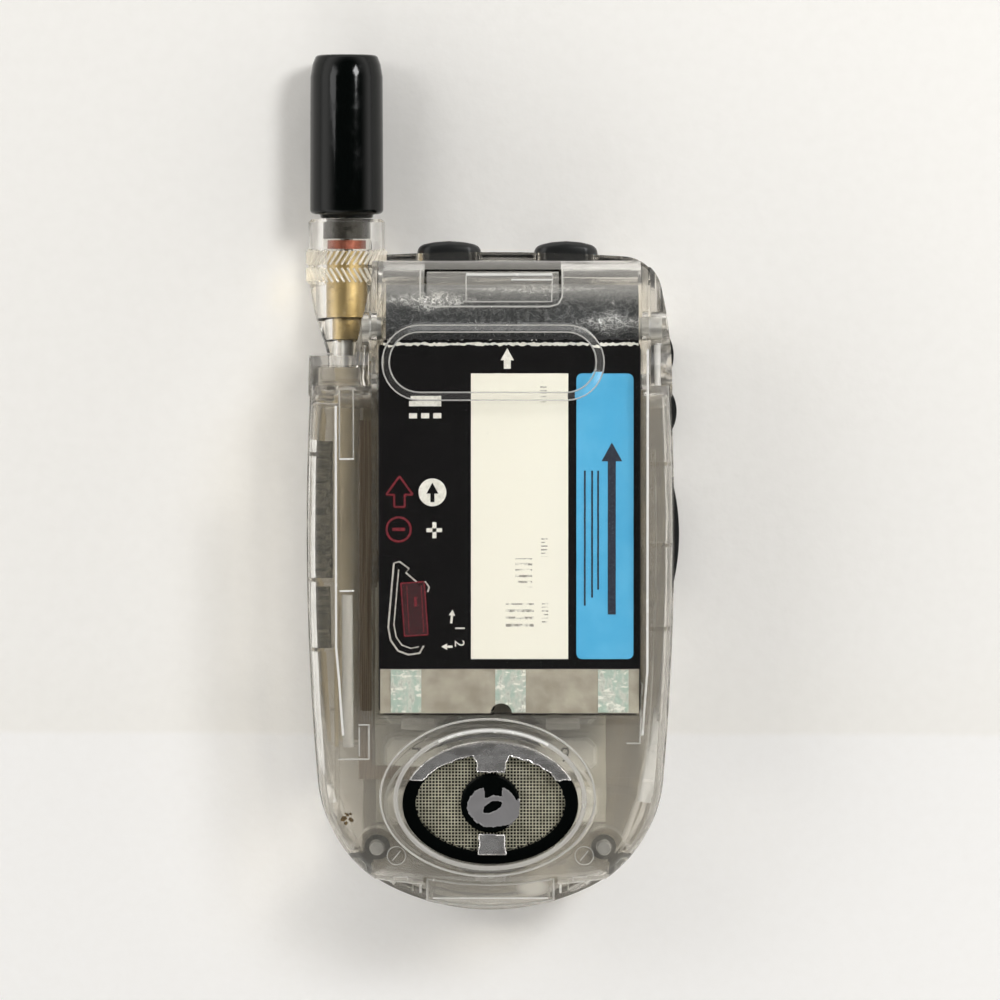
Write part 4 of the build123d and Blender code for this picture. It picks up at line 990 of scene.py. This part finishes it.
for corner in foil.data.vertices:
    x = foil_low.x + (corner.co.x + 0.5) * (foil_high.x - foil_low.x)
    turn = foil_start + (corner.co.y + 0.5) * (foil_end - foil_start)
    spot = Vector((x / mm, turn * foil_r / mm * 1.3, 0)) + drift
    folds = 1.0 - abs(noise.noise(spot * 0.9)) * 2.0
    fine = 1.0 - abs(noise.noise(spot * 2.3 + drift)) * 2.0
    dents = noise.noise(spot * 0.35)
    rise = (fold_rise * folds + fine_rise * fine + dent_rise * dents - foil_sink) * mm
    corner.co = (x, hinge_y + (foil_r + rise) * math.sin(turn), hinge_z + (foil_r + rise) * math.cos(turn))
if foil.data.polygons[0].normal.z < 0:
    foil.data.flip_normals()
wall = foil.modifiers.new("wall", "SOLIDIFY")
wall.thickness = 0.04 * mm
wall.offset = -1
bpy.ops.object.modifier_apply(modifier="wall")
bpy.ops.object.shade_smooth()

silver = Finish("battery_foil", Metallic=0.95)
grain = silver.noise(2.6, 5.0, rough=0.7)
across, along, up = silver.sides()
patchy = silver.noise(0.45, 4.0, rough=0.6)
bright = 0.0
# Middle, half width and half height of the patches with a painted highlight.
bright_patches = ((-7.6, 35.0, 5.6, 1.5), (15.2, 32.1, 4.6, 1.7), (5.0, 36.4, 9.0, 0.7))
for x, y, half_width, half_height in bright_patches:
    far = abs(across - x) / half_width + abs(along - y) / half_height + patchy * 1.1
    bright = bright + far.ramp(1.85, 0.9)
wide_crease_highlights = abs(silver.noise(0.75, 3.0, stretch=(1.0, 1.6, 1.0)) - 0.5).ramp(0.045, 0.0)
fine_crease_highlights = abs(silver.noise(1.5, 3.0, stretch=(1.4, 1.0, 1.0)) - 0.5).ramp(0.035, 0.0)
crease_highlights = wide_crease_highlights.larger(fine_crease_highlights * 0.8)
bright = bright * (crease_highlights * 0.7 + 0.22) + crease_highlights * 0.12
rubbed = silver.noise(1.1, 5.0, stretch=(1.6, 0.7, 1.0), rough=0.65).ramp(0.60, 0.74)
shine = (bright + rubbed * 0.35).at_most_one()
# Dark painted reflection, lifted towards white by the painted highlights.
silver.colour(shine, (0.075, 0.078, 0.08), (0.80, 0.80, 0.79))
silver.feed("Roughness", 0.34 - shine * 0.10 + grain * 0.08)
silver.bump(grain, 0.05, 0.8)
settle(foil, "crumpled_foil", silver.material, "lid", "battery_foil", "battery_foil")

# ---------------------------------------------------------------- battery door
# The clear sliding door over the battery, with an oval finger recess and a sprung latch
# tongue that snaps over the barrel. Its edges are rounded, and milky beads along them are painted
# highlights.
tongue_y = 34.4


def door_frost(x, y, z):
    """The door is painted whiter towards the tongue: painted glow of its thick clear wall there."""
    return (y - tongue_y).ramp(0.0, 2.2, 0.0, 0.075)


door_plastic = clear_plastic("clear_door", (0.975, 0.97, 0.95), (door_seam,), scuffs=0.4, frost_and_glow=door_frost)
dress(door_plastic, "battery_door")

# Milky, part-clear plastic for rounded edges and the pale rod. On the edges its whiteness is a painted
# highlight.
edge_plastic = Finish("bright_edge", Base_Color=(0.90, 0.89, 0.85), IOR=1.49, Transmission_Weight=0.62)
edge_wear = edge_plastic.noise(0.45, 4.0, rough=0.6)
edge_plastic.feed("Roughness", 0.10 + edge_wear * 0.25)
edge_plastic.bump(edge_plastic.noise(1.2, 3.0), 0.04)
probe_height = 60 * mm
downwards = Vector((0, 0, -1))


def bead(name, points, radius, body, slot, surfaces=(), closed=True, sink=0.5, finish=edge_plastic):
    """A rounded edge of clear plastic along points, in millimetres, on top of the nodes in surfaces."""
    path = []
    for x, y, *z in points:
        if not surfaces:
            path.append(Vector((x, y, z[0])) * mm)
            continue
        tops = []
        for surface in surfaces:
            hit, place, normal, face = nodes[surface].ray_cast((x * mm, y * mm, probe_height), downwards)
            if hit:
                tops.append(place.z)
        if tops:
            path.append(Vector((x * mm, y * mm, max(tops) + radius * mm * (1 - sink))))
    bpy.ops.object.select_all(action="DESELECT")
    curve = bpy.data.curves.new(name, "CURVE")
    curve.dimensions = "3D"
    curve.bevel_depth = radius * mm
    curve.bevel_resolution = 2
    curve.use_fill_caps = True
    spline = curve.splines.new("POLY")
    spline.points.add(len(path) - 1)
    for point, place in zip(spline.points, path):
        point.co = (*place, 1)
    spline.use_cyclic_u = closed
    made = bpy.data.objects.new(name, curve)
    bpy.context.scene.collection.objects.link(made)
    made.select_set(True)
    bpy.context.view_layer.objects.active = made
    bpy.ops.object.convert(target="MESH")
    for face in made.data.polygons:
        face.use_smooth = True
    return settle(bpy.context.object, name, finish.material, body, slot)


def oblong(centre, width, height, steps=18):
    """Points round an oval with straight long sides."""
    radius = height / 2
    half = width / 2 - radius
    points = []
    for side, start in ((1, -90), (-1, 90)):
        for step in range(steps + 1):
            turn = math.radians(start + 180 * step / steps)
            x = centre[0] + side * half + radius * math.cos(turn)
            points.append((x, centre[1] + radius * math.sin(turn)))
    points.append(points[0])
    full = []
    for (x0, y0), (x1, y1) in zip(points, points[1:]):
        pieces = max(1, int(math.hypot(x1 - x0, y1 - y0) / 0.8))
        full += [(x0 + (x1 - x0) * i / pieces, y0 + (y1 - y0) * i / pieces) for i in range(pieces)]
    return full


bead("recess_inner_edge", oblong((0.3, 27.4), 25.7, 7.5), 0.10, "door", "clear_casing", ("battery_door",))
bead("recess_outer_edge", oblong((0.35, 27.35), 27.5, 9.3), 0.09, "door", "clear_casing", ("battery_door",))

# ---------------------------------------------------------------- bright edges
# Painted highlights: white and milky beads where rounded edges and inner walls of the clear
# casing catch the light, on both long sides, the lips of the sound bezel, the tongue, the
# hollow chin block and small posts.
# Near-white and mostly opaque: painted highlight.
highlight_white = Finish("highlight_white", Base_Color=(0.93, 0.925, 0.90), IOR=1.49, Transmission_Weight=0.2)
worn = highlight_white.noise(0.5, 4.0)
highlight_white.feed("Roughness", 0.15 + worn * 0.2)
highlight_white.bump(worn, 0.04)
wall_z = 12.0
left_wall = (
    (-22.0, 25.0), (-22.0, 17.7), (-22.0, -2.4), (-21.75, -8.7), (-21.3, -14.9), (-20.6, -21.8),
    (-19.4, -27.5), (-17.5, -32.5), (-15.2, -36.0), (-12.0, -38.4),
)
right_wall = (
    (20.9, 31.0), (21.1, 25.0), (21.2, 17.7), (21.2, -2.4), (21.0, -8.7), (20.6, -14.9), (19.9, -21.8),
    (18.8, -27.5), (17.0, -32.5), (14.7, -36.0), (11.9, -38.4),
)
lid_wall_z = 19.5
for side, points in (("left", left_wall), ("right", right_wall)):
    path = [(x, y, wall_z) for x, y in points]
    bead(f"{side}_wall_edge", path, 0.42, "base", "clear_casing", closed=False, finish=highlight_white)
    path = [(x, y, lid_wall_z) for x, y in points if -30 < y < 20]
    bead(f"{side}_lid_wall_edge", path, 0.40, "lid", "clear_casing", closed=False, finish=highlight_white)

lid_and_door = ("lid_shell", "battery_door")
left_line = [(-19.15, 22.0 - step) for step in range(31)] + [(-18.8, -12.0), (-18.5, -16.5), (-18.3, -19.0)]
right_line = [(19.5, 29.0 - step) for step in range(41)] + [(19.2, -15.0), (18.9, -19.0)]
for side, points in (("left", left_line), ("right", right_line)):
    name = f"{side}_margin_edge"
    bead(name, points, 0.15, "lid", "clear_casing", lid_and_door, closed=False, finish=highlight_white)


def oval(centre, half_width, half_height, start=0.0, end=360.0, count=72):
    """Points round an ellipse, or along a part of it in degrees, left out at its end."""
    turns = [math.radians(start + (end - start) * step / count) for step in range(count)]
    return [(centre[0] + half_width * math.cos(t), centre[1] + half_height * math.sin(t)) for t in turns]


bezel_y, bezel_z = -26.9, 23.82
bezel_slope = 0.0735


def on_bezel(points, height):
    """Lays points on the leaning bezel, height above its face."""
    return [(x, y, bezel_z + (y - bezel_y) * bezel_slope + height) for x, y in points]


bead("bezel_inner_lip", on_bezel(oval((-0.05, -27.0), 11.75, 8.65), 0.05), 0.30, "lid", "clear_casing")
bead("bezel_outer_lip", on_bezel(oval((-0.35, -26.8), 13.35, 9.85), -0.15), 0.15, "lid", "clear_casing")
# A painted highlight along the top of the inner lip.
top_highlight = on_bezel(oval((-0.05, -27.0), 11.75, 8.65, 52, 124), 0.30)
bead("bezel_top_highlight", top_highlight, 0.16, "lid", "clear_casing", closed=False, finish=highlight_white)


def joined(*corners, reach=0.6):
    """Straight runs from corner to corner, with points close enough to follow a surface."""
    points = [corners[0]]
    for (x0, y0), (x1, y1) in zip(corners, corners[1:]):
        steps = max(1, round(math.hypot(x1 - x0, y1 - y0) / reach))
        points += [(x0 + (x1 - x0) * i / steps, y0 + (y1 - y0) * i / steps) for i in range(1, steps + 1)]
    return points


on_door, on_lid, on_base = ("battery_door",), ("lid_shell",), ("front_housing",)
tongue = joined(
    (-8.7, 38.9), (-8.7, 35.4), (-8.2, 34.6), (-7.0, 34.3),
    (7.4, 34.3), (8.4, 34.6), (8.9, 35.4), (9.0, 38.9),
)
catch = joined((-3.0, 38.2), (-3.0, 34.9), (7.6, 34.9), (7.7, 38.2))
channel = joined((-16.4, -17.7), (-15.1, -17.7), (-15.1, -22.0), (-18.9, -22.0))
right_box = joined((17.3, -12.6), (18.9, -12.6), (18.6, -20.0), (16.9, -20.0))
# Name, points, radius, body, the nodes that it lies on, and finish.
open_lines = (
    ("tongue_edge", tongue, 0.12, "door", on_door, edge_plastic),
    ("catch_edge", catch, 0.10, "door", on_door, edge_plastic),
    ("catch_upper_edge", joined((-3.0, 38.2), (7.7, 38.2)), 0.20, "door", on_door, highlight_white),
    ("catch_step", joined((2.6, 37.6), (7.7, 37.6)), 0.12, "door", on_door, highlight_white),
    ("chin_lower_line", joined((-7.2, -39.8), (7.2, -39.8)), 0.10, "base", on_base, highlight_white),
    ("chin_post_1", joined((-8.8, -37.9), (-8.8, -39.7)), 0.16, "base", on_base, highlight_white),
    ("chin_post_2", joined((-9.8, -37.9), (-9.8, -39.4)), 0.12, "base", on_base, edge_plastic),
    ("chin_post_3", joined((8.8, -37.9), (8.8, -39.7)), 0.16, "base", on_base, highlight_white),
    ("chin_post_4", joined((9.8, -37.9), (9.8, -39.4)), 0.12, "base", on_base, edge_plastic),
    ("box_end", joined((-18.7, 15.4), (-17.0, 15.4)), 0.12, "lid", on_lid, highlight_white),
    ("box_side_1", joined((-18.7, 24.0), (-18.7, 15.4)), 0.08, "lid", on_lid, edge_plastic),
    ("box_side_2", joined((-17.0, 24.0), (-17.0, 15.4)), 0.08, "lid", on_lid, edge_plastic),
    ("rail_end", joined((-18.7, -1.0), (-17.0, -1.0)), 0.12, "lid", on_lid, highlight_white),
    ("channel_edge", channel, 0.12, "lid", on_lid, edge_plastic),
    ("channel_inner_edge", joined((-16.3, -18.0), (-16.3, -21.6)), 0.10, "lid", on_lid, edge_plastic),
    ("right_box_edge", right_box, 0.10, "lid", on_lid, edge_plastic),
)
for name, points, radius, body, surfaces, finish in open_lines:
    bead(name, points, radius, body, "clear_casing", surfaces, closed=False, finish=finish)

chin_block = joined(
    (-7.9, -37.4), (-4.0, -37.95), (0.0, -38.15), (4.0, -37.95), (7.9, -37.4),
    (7.9, -40.0), (4.0, -40.7), (0.0, -40.95), (-4.0, -40.7), (-7.9, -40.0), (-7.9, -37.4),
)
bead("chin_block_edge", chin_block, 0.15, "base", "clear_casing", on_base)
post_x, post_y, post_r = 11.7, -34.1, 1.15
slot_x, slot_y = 0.5, 0.6
snap_outer, snap_inner, snap_top, snap_foot = 12.0, 10.3, -36.8, -37.4
for name, side in (("left", -1), ("right", 1)):
    x = side * post_x
    ring = oval((x, post_y), post_r, post_r, count=28)
    bead(f"{name}_post_ring", ring, 0.06, "lid", "clear_casing", on_lid)
    slot_line = joined((x - slot_x, post_y - slot_y), (x + slot_x, post_y + slot_y), reach=0.3)
    bead(f"{name}_post_slot", slot_line, 0.07, "lid", "clear_casing", on_lid, closed=False)
    outer, inner = side * snap_outer, side * snap_inner
    snap = joined((outer, snap_top), (inner, snap_top), (inner, snap_foot), (outer, snap_foot), reach=0.3)
    bead(f"{name}_snap_edge", snap, 0.08, "lid", "clear_casing", on_lid)

# Inside the lid's margins lie a pale guide rod for the flexible circuit, and dark mottled
# strips that stand for the shade in the hollow of the left wall: painted shade.
shade_strip = Finish("shade_strip", Roughness=0.7)
shade_mottle = shade_strip.noise(2.2, 5.0, rough=0.7).ramp(0.35, 0.70)
shade_strip.colour(shade_mottle, srgb(44, 42, 36), srgb(104, 100, 86))
shade_strip.bump(shade_mottle, 0.06)
# Name, start, end, radius and finish.
rods = (
    ("flex_guide", (-17.85, -1.6, 21.0), (-17.75, -20.6, 20.4), 0.70, edge_plastic),
    ("left_shade_strip", (-20.25, 17.5, 20.0), (-20.25, 0.6, 20.0), 0.60, shade_strip),
    ("left_shade_strip_low", (-20.45, -0.6, 20.0), (-20.3, -8.2, 20.0), 0.48, shade_strip),
)
for name, start, end, radius, finish in rods:
    bead(name, [start, end], radius, "lid", "clear_casing", closed=False, finish=finish)

# ---------------------------------------------------------------- speaker emblem
# An oval black ring with a turned disc in the middle holds a woven steel mesh over the
# sound opening. A chrome skin lay over its upper arc, its two bridges and the disc, and
# has flaked away to ragged edges.
dress(gloss.material, "speaker_ring", "speaker_disc")

emblem_lean = math.radians(4.2)
emblem_y = -27.58 * mm
ring_half_height = 7.6 * mm
emblem_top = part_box("speaker_ring")[1].z - ring_half_height * math.sin(emblem_lean)


def laid_at(height):
    """Lays a flat piece, made round the origin, at that height on the leaning emblem."""
    return Matrix.Translation((0, emblem_y, height)) @ Matrix.Rotation(emblem_lean, 4, "X")


arc_outer, arc_inner, arc_foot = (10.9, 7.95), (9.35, 6.15), 2.95
upper_bridge_x, upper_bridge_half, upper_bridge_low, upper_bridge_high = 0.1, 1.78, 3.95, 6.4
lower_bridge_x, lower_bridge_half, lower_bridge_low, lower_bridge_high = 0.2, 1.62, -6.5, -3.85
rim_inner, rim_outer = 3.5, 3.68
patch_x, patch_y, patch_half = 0.35, -0.4, (3.25, 2.6)
notch_half, notch_foot = 1.15, 1.3
hole_x, hole_half, hole_tilt = -0.1, (1.25, 0.62), math.radians(28)


def ellipse(x, y, halves):
    """Less than 1 inside the oval of those half width and half height, more than 1 outside."""
    return math.hypot(x / halves[0], y / halves[1])


def flake(x, y, size):
    """Even, repeatable unevenness from -1 to 1, in millimetres on the emblem."""
    return noise.noise(Vector((x / size, y / size, 3.7)))


def has_chrome(x, y):
    """Where the chrome skin is left, in millimetres from the emblem's centre."""
    rag = flake(x, y, 0.9) * 0.6 + flake(x, y, 0.35) * 0.3
    on_arc = ellipse(x, y, arc_outer) < 1 and ellipse(x, y, arc_inner) > 1 + rag * 0.035
    if on_arc and y > arc_foot + rag * 0.4:
        return True
    flare = max(0.0, abs(y) - 5.0) * (0.5 if y > 0 else 0.12)
    across_upper = abs(x - upper_bridge_x) < upper_bridge_half + flare + rag * 0.15
    if across_upper and upper_bridge_low + rag * 0.2 < y < upper_bridge_high:
        return True
    across_lower = abs(x - lower_bridge_x) < lower_bridge_half + flare + rag * 0.12
    if across_lower and lower_bridge_low < y < lower_bridge_high + rag * 0.15:
        return True
    on_rim = rim_inner + rag * 0.3 < math.hypot(x, y) < rim_outer
    if on_rim and x > 1.6 and -2.9 < y < 0.6:
        return True
    across, along = x - patch_x, y - patch_y
    patch = ellipse(across, along, patch_half) < 1 + rag * 0.14
    notch = abs(across) < notch_half + rag * 0.2 and along > notch_foot + rag * 0.5
    tilted = Vector((across - hole_x, along)) @ Matrix.Rotation(hole_tilt, 2)
    hole = ellipse(tilted.x, tilted.y, hole_half) < 1 + rag * 0.3
    return patch and not notch and not hole


skin_columns, skin_rows = 240, 176
skin_width, skin_height = 21.9 * mm, 16.0 * mm
bpy.ops.object.select_all(action="DESELECT")
bpy.ops.mesh.primitive_grid_add(x_subdivisions=skin_columns, y_subdivisions=skin_rows, size=1)
skin = bpy.context.object
skin.data.transform(Matrix.Diagonal((skin_width, skin_height, 1, 1)))
bpy.ops.object.mode_set(mode="EDIT")
choose_faces(skin, lambda centre, normal: not has_chrome(centre.x / mm, centre.y / mm))
bpy.ops.mesh.delete(type="FACE")
choose_faces(skin, lambda centre, normal: False)
shape = bmesh.from_edit_mesh(skin.data)
edge_points = [point for point in shape.verts if any(edge.is_boundary for edge in point.link_edges)]
all_axes = {"use_axis_x": True, "use_axis_y": True, "use_axis_z": True}
for _ in range(3):
    bmesh.ops.smooth_vert(shape, verts=edge_points, factor=0.5, **all_axes)
for point in shape.verts:
    x, y = point.co.x / mm, point.co.y / mm
    point.co.z = (0.04 + flake(x, y, 1.3) * 0.05 + flake(x, y, 0.4) * 0.02) * mm
for point in edge_points:
    point.co.z += 0.07 * mm
bmesh.update_edit_mesh(skin.data)
bpy.ops.object.mode_set(mode="OBJECT")
wall = skin.modifiers.new("wall", "SOLIDIFY")
wall.thickness = 0.12 * mm
wall.offset = 0
bpy.ops.object.modifier_apply(modifier="wall")
bpy.ops.object.shade_smooth_by_angle(angle=math.radians(50))
skin.data.transform(laid_at(emblem_top))
chrome = Finish("worn_chrome")
scuff = chrome.noise(0.45, 3.0, stretch=(0.7, 1.5, 1.0), rough=0.55).ramp(0.42, 0.64)
across, along, up = chrome.sides()
disc_y, disc_r = -27.9, 3.7
from_middle = (across.power(2) + (along - disc_y).power(2)).power(0.5)
on_disc = from_middle < disc_r
plated = chrome.mix(scuff, (0.98, 0.97, 0.96), (0.42, 0.41, 0.40))
chrome.colour(on_disc, plated, (0.27, 0.265, 0.27))
chrome.feed("Metallic", 0.85 - on_disc * 0.5)
chrome.feed("Roughness", 0.20 + scuff * 0.12 + on_disc * 0.14)
chrome.bump(chrome.noise(0.5, 1.5), 0.16, 0.7)
settle(skin, "chrome_skin", chrome.material, "lid", "chrome", "speaker_bridge")

# The mesh: plain weave of fine steel wire, cut to the oval. Each wire is built whole,
# going over and under, and stops at the oval.
weave_pitch = 0.405 * mm
wire_r = 0.068 * mm
wire_sides = 6
cell_steps = 4


def wavy_wire(start, end, phase):
    """One wire from start to end that goes over and under with the weave."""
    way = (end - start).normalized()
    length = (end - start).length
    side = Vector((-way.y, way.x, 0))
    count = max(2, round(length / weave_pitch * cell_steps / 2))
    rings = []
    for step in range(count + 1):
        reach = length * step / count
        swing = math.cos(math.pi * (reach / weave_pitch) + phase) * wire_r * 0.9
        middle = start + way * reach + Vector((0, 0, swing))
        rings.append([
            middle + wire_r * (math.cos(t) * side + math.sin(t) * Vector((0, 0, 1)))
            for t in (2 * math.pi * i / wire_sides for i in range(wire_sides))
        ])
    return rings


weave = bmesh.new()
half_w, half_h = 9.45 * mm, 6.25 * mm
for way in ("along", "across"):
    half, other = (half_w, half_h) if way == "along" else (half_h, half_w)
    count = int(half / weave_pitch)
    for index in range(-count, count + 1):
        offset = index * weave_pitch
        reach = other * math.sqrt(max(0.0, 1 - (offset / half) ** 2))
        reach = math.floor(reach / weave_pitch) * weave_pitch
        if reach < weave_pitch:
            continue
        if way == "along":
            start, end = Vector((offset, -reach, 0)), Vector((offset, reach, 0))
        else:
            start, end = Vector((-reach, offset, 0)), Vector((reach, offset, 0))
        phase = math.pi * (index + round(reach / weave_pitch) + (way == "across"))
        rings = [[weave.verts.new(point) for point in ring] for ring in wavy_wire(start, end, phase)]
        for first, second in zip(rings, rings[1:]):
            for i in range(wire_sides):
                j = (i + 1) % wire_sides
                weave.faces.new((first[i], first[j], second[j], second[i]))
        weave.faces.new(rings[0][::-1])
        weave.faces.new(rings[-1])
woven = bpy.data.objects.new("woven_mesh", bpy.data.meshes.new("woven_mesh"))
bpy.context.scene.collection.objects.link(woven)
bmesh.ops.recalc_face_normals(weave, faces=weave.faces)
weave.to_mesh(woven.data)
weave.free()
mesh_half_height = 6.4 * mm
mesh_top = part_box("speaker_mesh")[1].z - mesh_half_height * math.sin(emblem_lean)
weave_sink, felt_sink = 0.14 * mm, 0.36 * mm
woven.data.transform(laid_at(mesh_top - weave_sink))
for face in woven.data.polygons:
    face.use_smooth = True
wire = Finish("steel_mesh", Metallic=0.35)
soot = wire.noise(0.5, 4.0).ramp(0.35, 0.75)
wire.colour(soot, srgb(222, 218, 194), srgb(184, 179, 156))
wire.feed("Roughness", 0.32 + soot * 0.2)
wire.bump(wire.noise(8.0, 2.0), 0.01)
settle(woven, "woven_mesh", wire.material, "lid", "steel_mesh", "speaker_mesh")

# Black dust felt, cut to the oval, lies under the mesh.
bpy.ops.object.select_all(action="DESELECT")
bpy.ops.mesh.primitive_circle_add(vertices=96, radius=1, fill_type="NGON")
felt = bpy.context.object
bpy.ops.object.mode_set(mode="EDIT")
bpy.ops.mesh.inset(thickness=0.06)
bpy.ops.mesh.select_all(action="SELECT")
bpy.ops.mesh.extrude_region_move(TRANSFORM_OT_translate={"value": (0, 0, 0.04 * mm)})
face_outwards()
bpy.ops.object.mode_set(mode="OBJECT")
felt.data.transform(Matrix.Diagonal((9.4 * mm, 6.2 * mm, 1, 1)))
felt.data.transform(laid_at(mesh_top - felt_sink))
dark_felt = Finish("dust_felt", Roughness=0.95)
fluff = dark_felt.noise(5.0, 4.0, rough=0.7)
dark_felt.colour(fluff, (0.006, 0.006, 0.005), (0.03, 0.028, 0.024))
dark_felt.bump(fluff, 0.05)
settle(felt, "dust_felt", dark_felt.material, "lid", "steel_mesh")

# ---------------------------------------------------------------- dirt
# A few dark grains stuck on the lid near its lower left corner.
grain_finish = Finish("dirt_grain", Roughness=0.8)
speckled = grain_finish.noise(4.0, 3.0).ramp(0.35, 0.65)
grain_finish.colour(speckled, srgb(58, 46, 30), srgb(104, 84, 52))
grain_finish.bump(grain_finish.noise(8.0, 4.0), 0.05)
litter = random.Random(21)
grains = []
for index in range(16):
    x = -18.1 + litter.gauss(0, 0.42)
    y = -29.5 + litter.gauss(0, 0.40)
    size = litter.uniform(0.10, 0.26) * mm
    hit, place, normal, face = nodes["lid_shell"].ray_cast((x * mm, y * mm, probe_height), downwards)
    if not hit:
        continue
    bpy.ops.object.select_all(action="DESELECT")
    bpy.ops.mesh.primitive_ico_sphere_add(subdivisions=2, radius=size, location=place)
    one = bpy.context.object
    bpy.ops.object.transform_apply()
    for corner in one.data.vertices:
        jag = noise.noise(corner.co / mm * 6.0) * 0.35 + 1.0
        corner.co = place + (corner.co - place) * Vector((jag, jag, 0.35))
    grains.append(one)
settle(weld(grains), "dirt_grains", grain_finish.material, "lid", "clear_casing")

# ---------------------------------------------------------------- sizes and end
# The box of the finished model, in metres.
low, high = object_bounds()
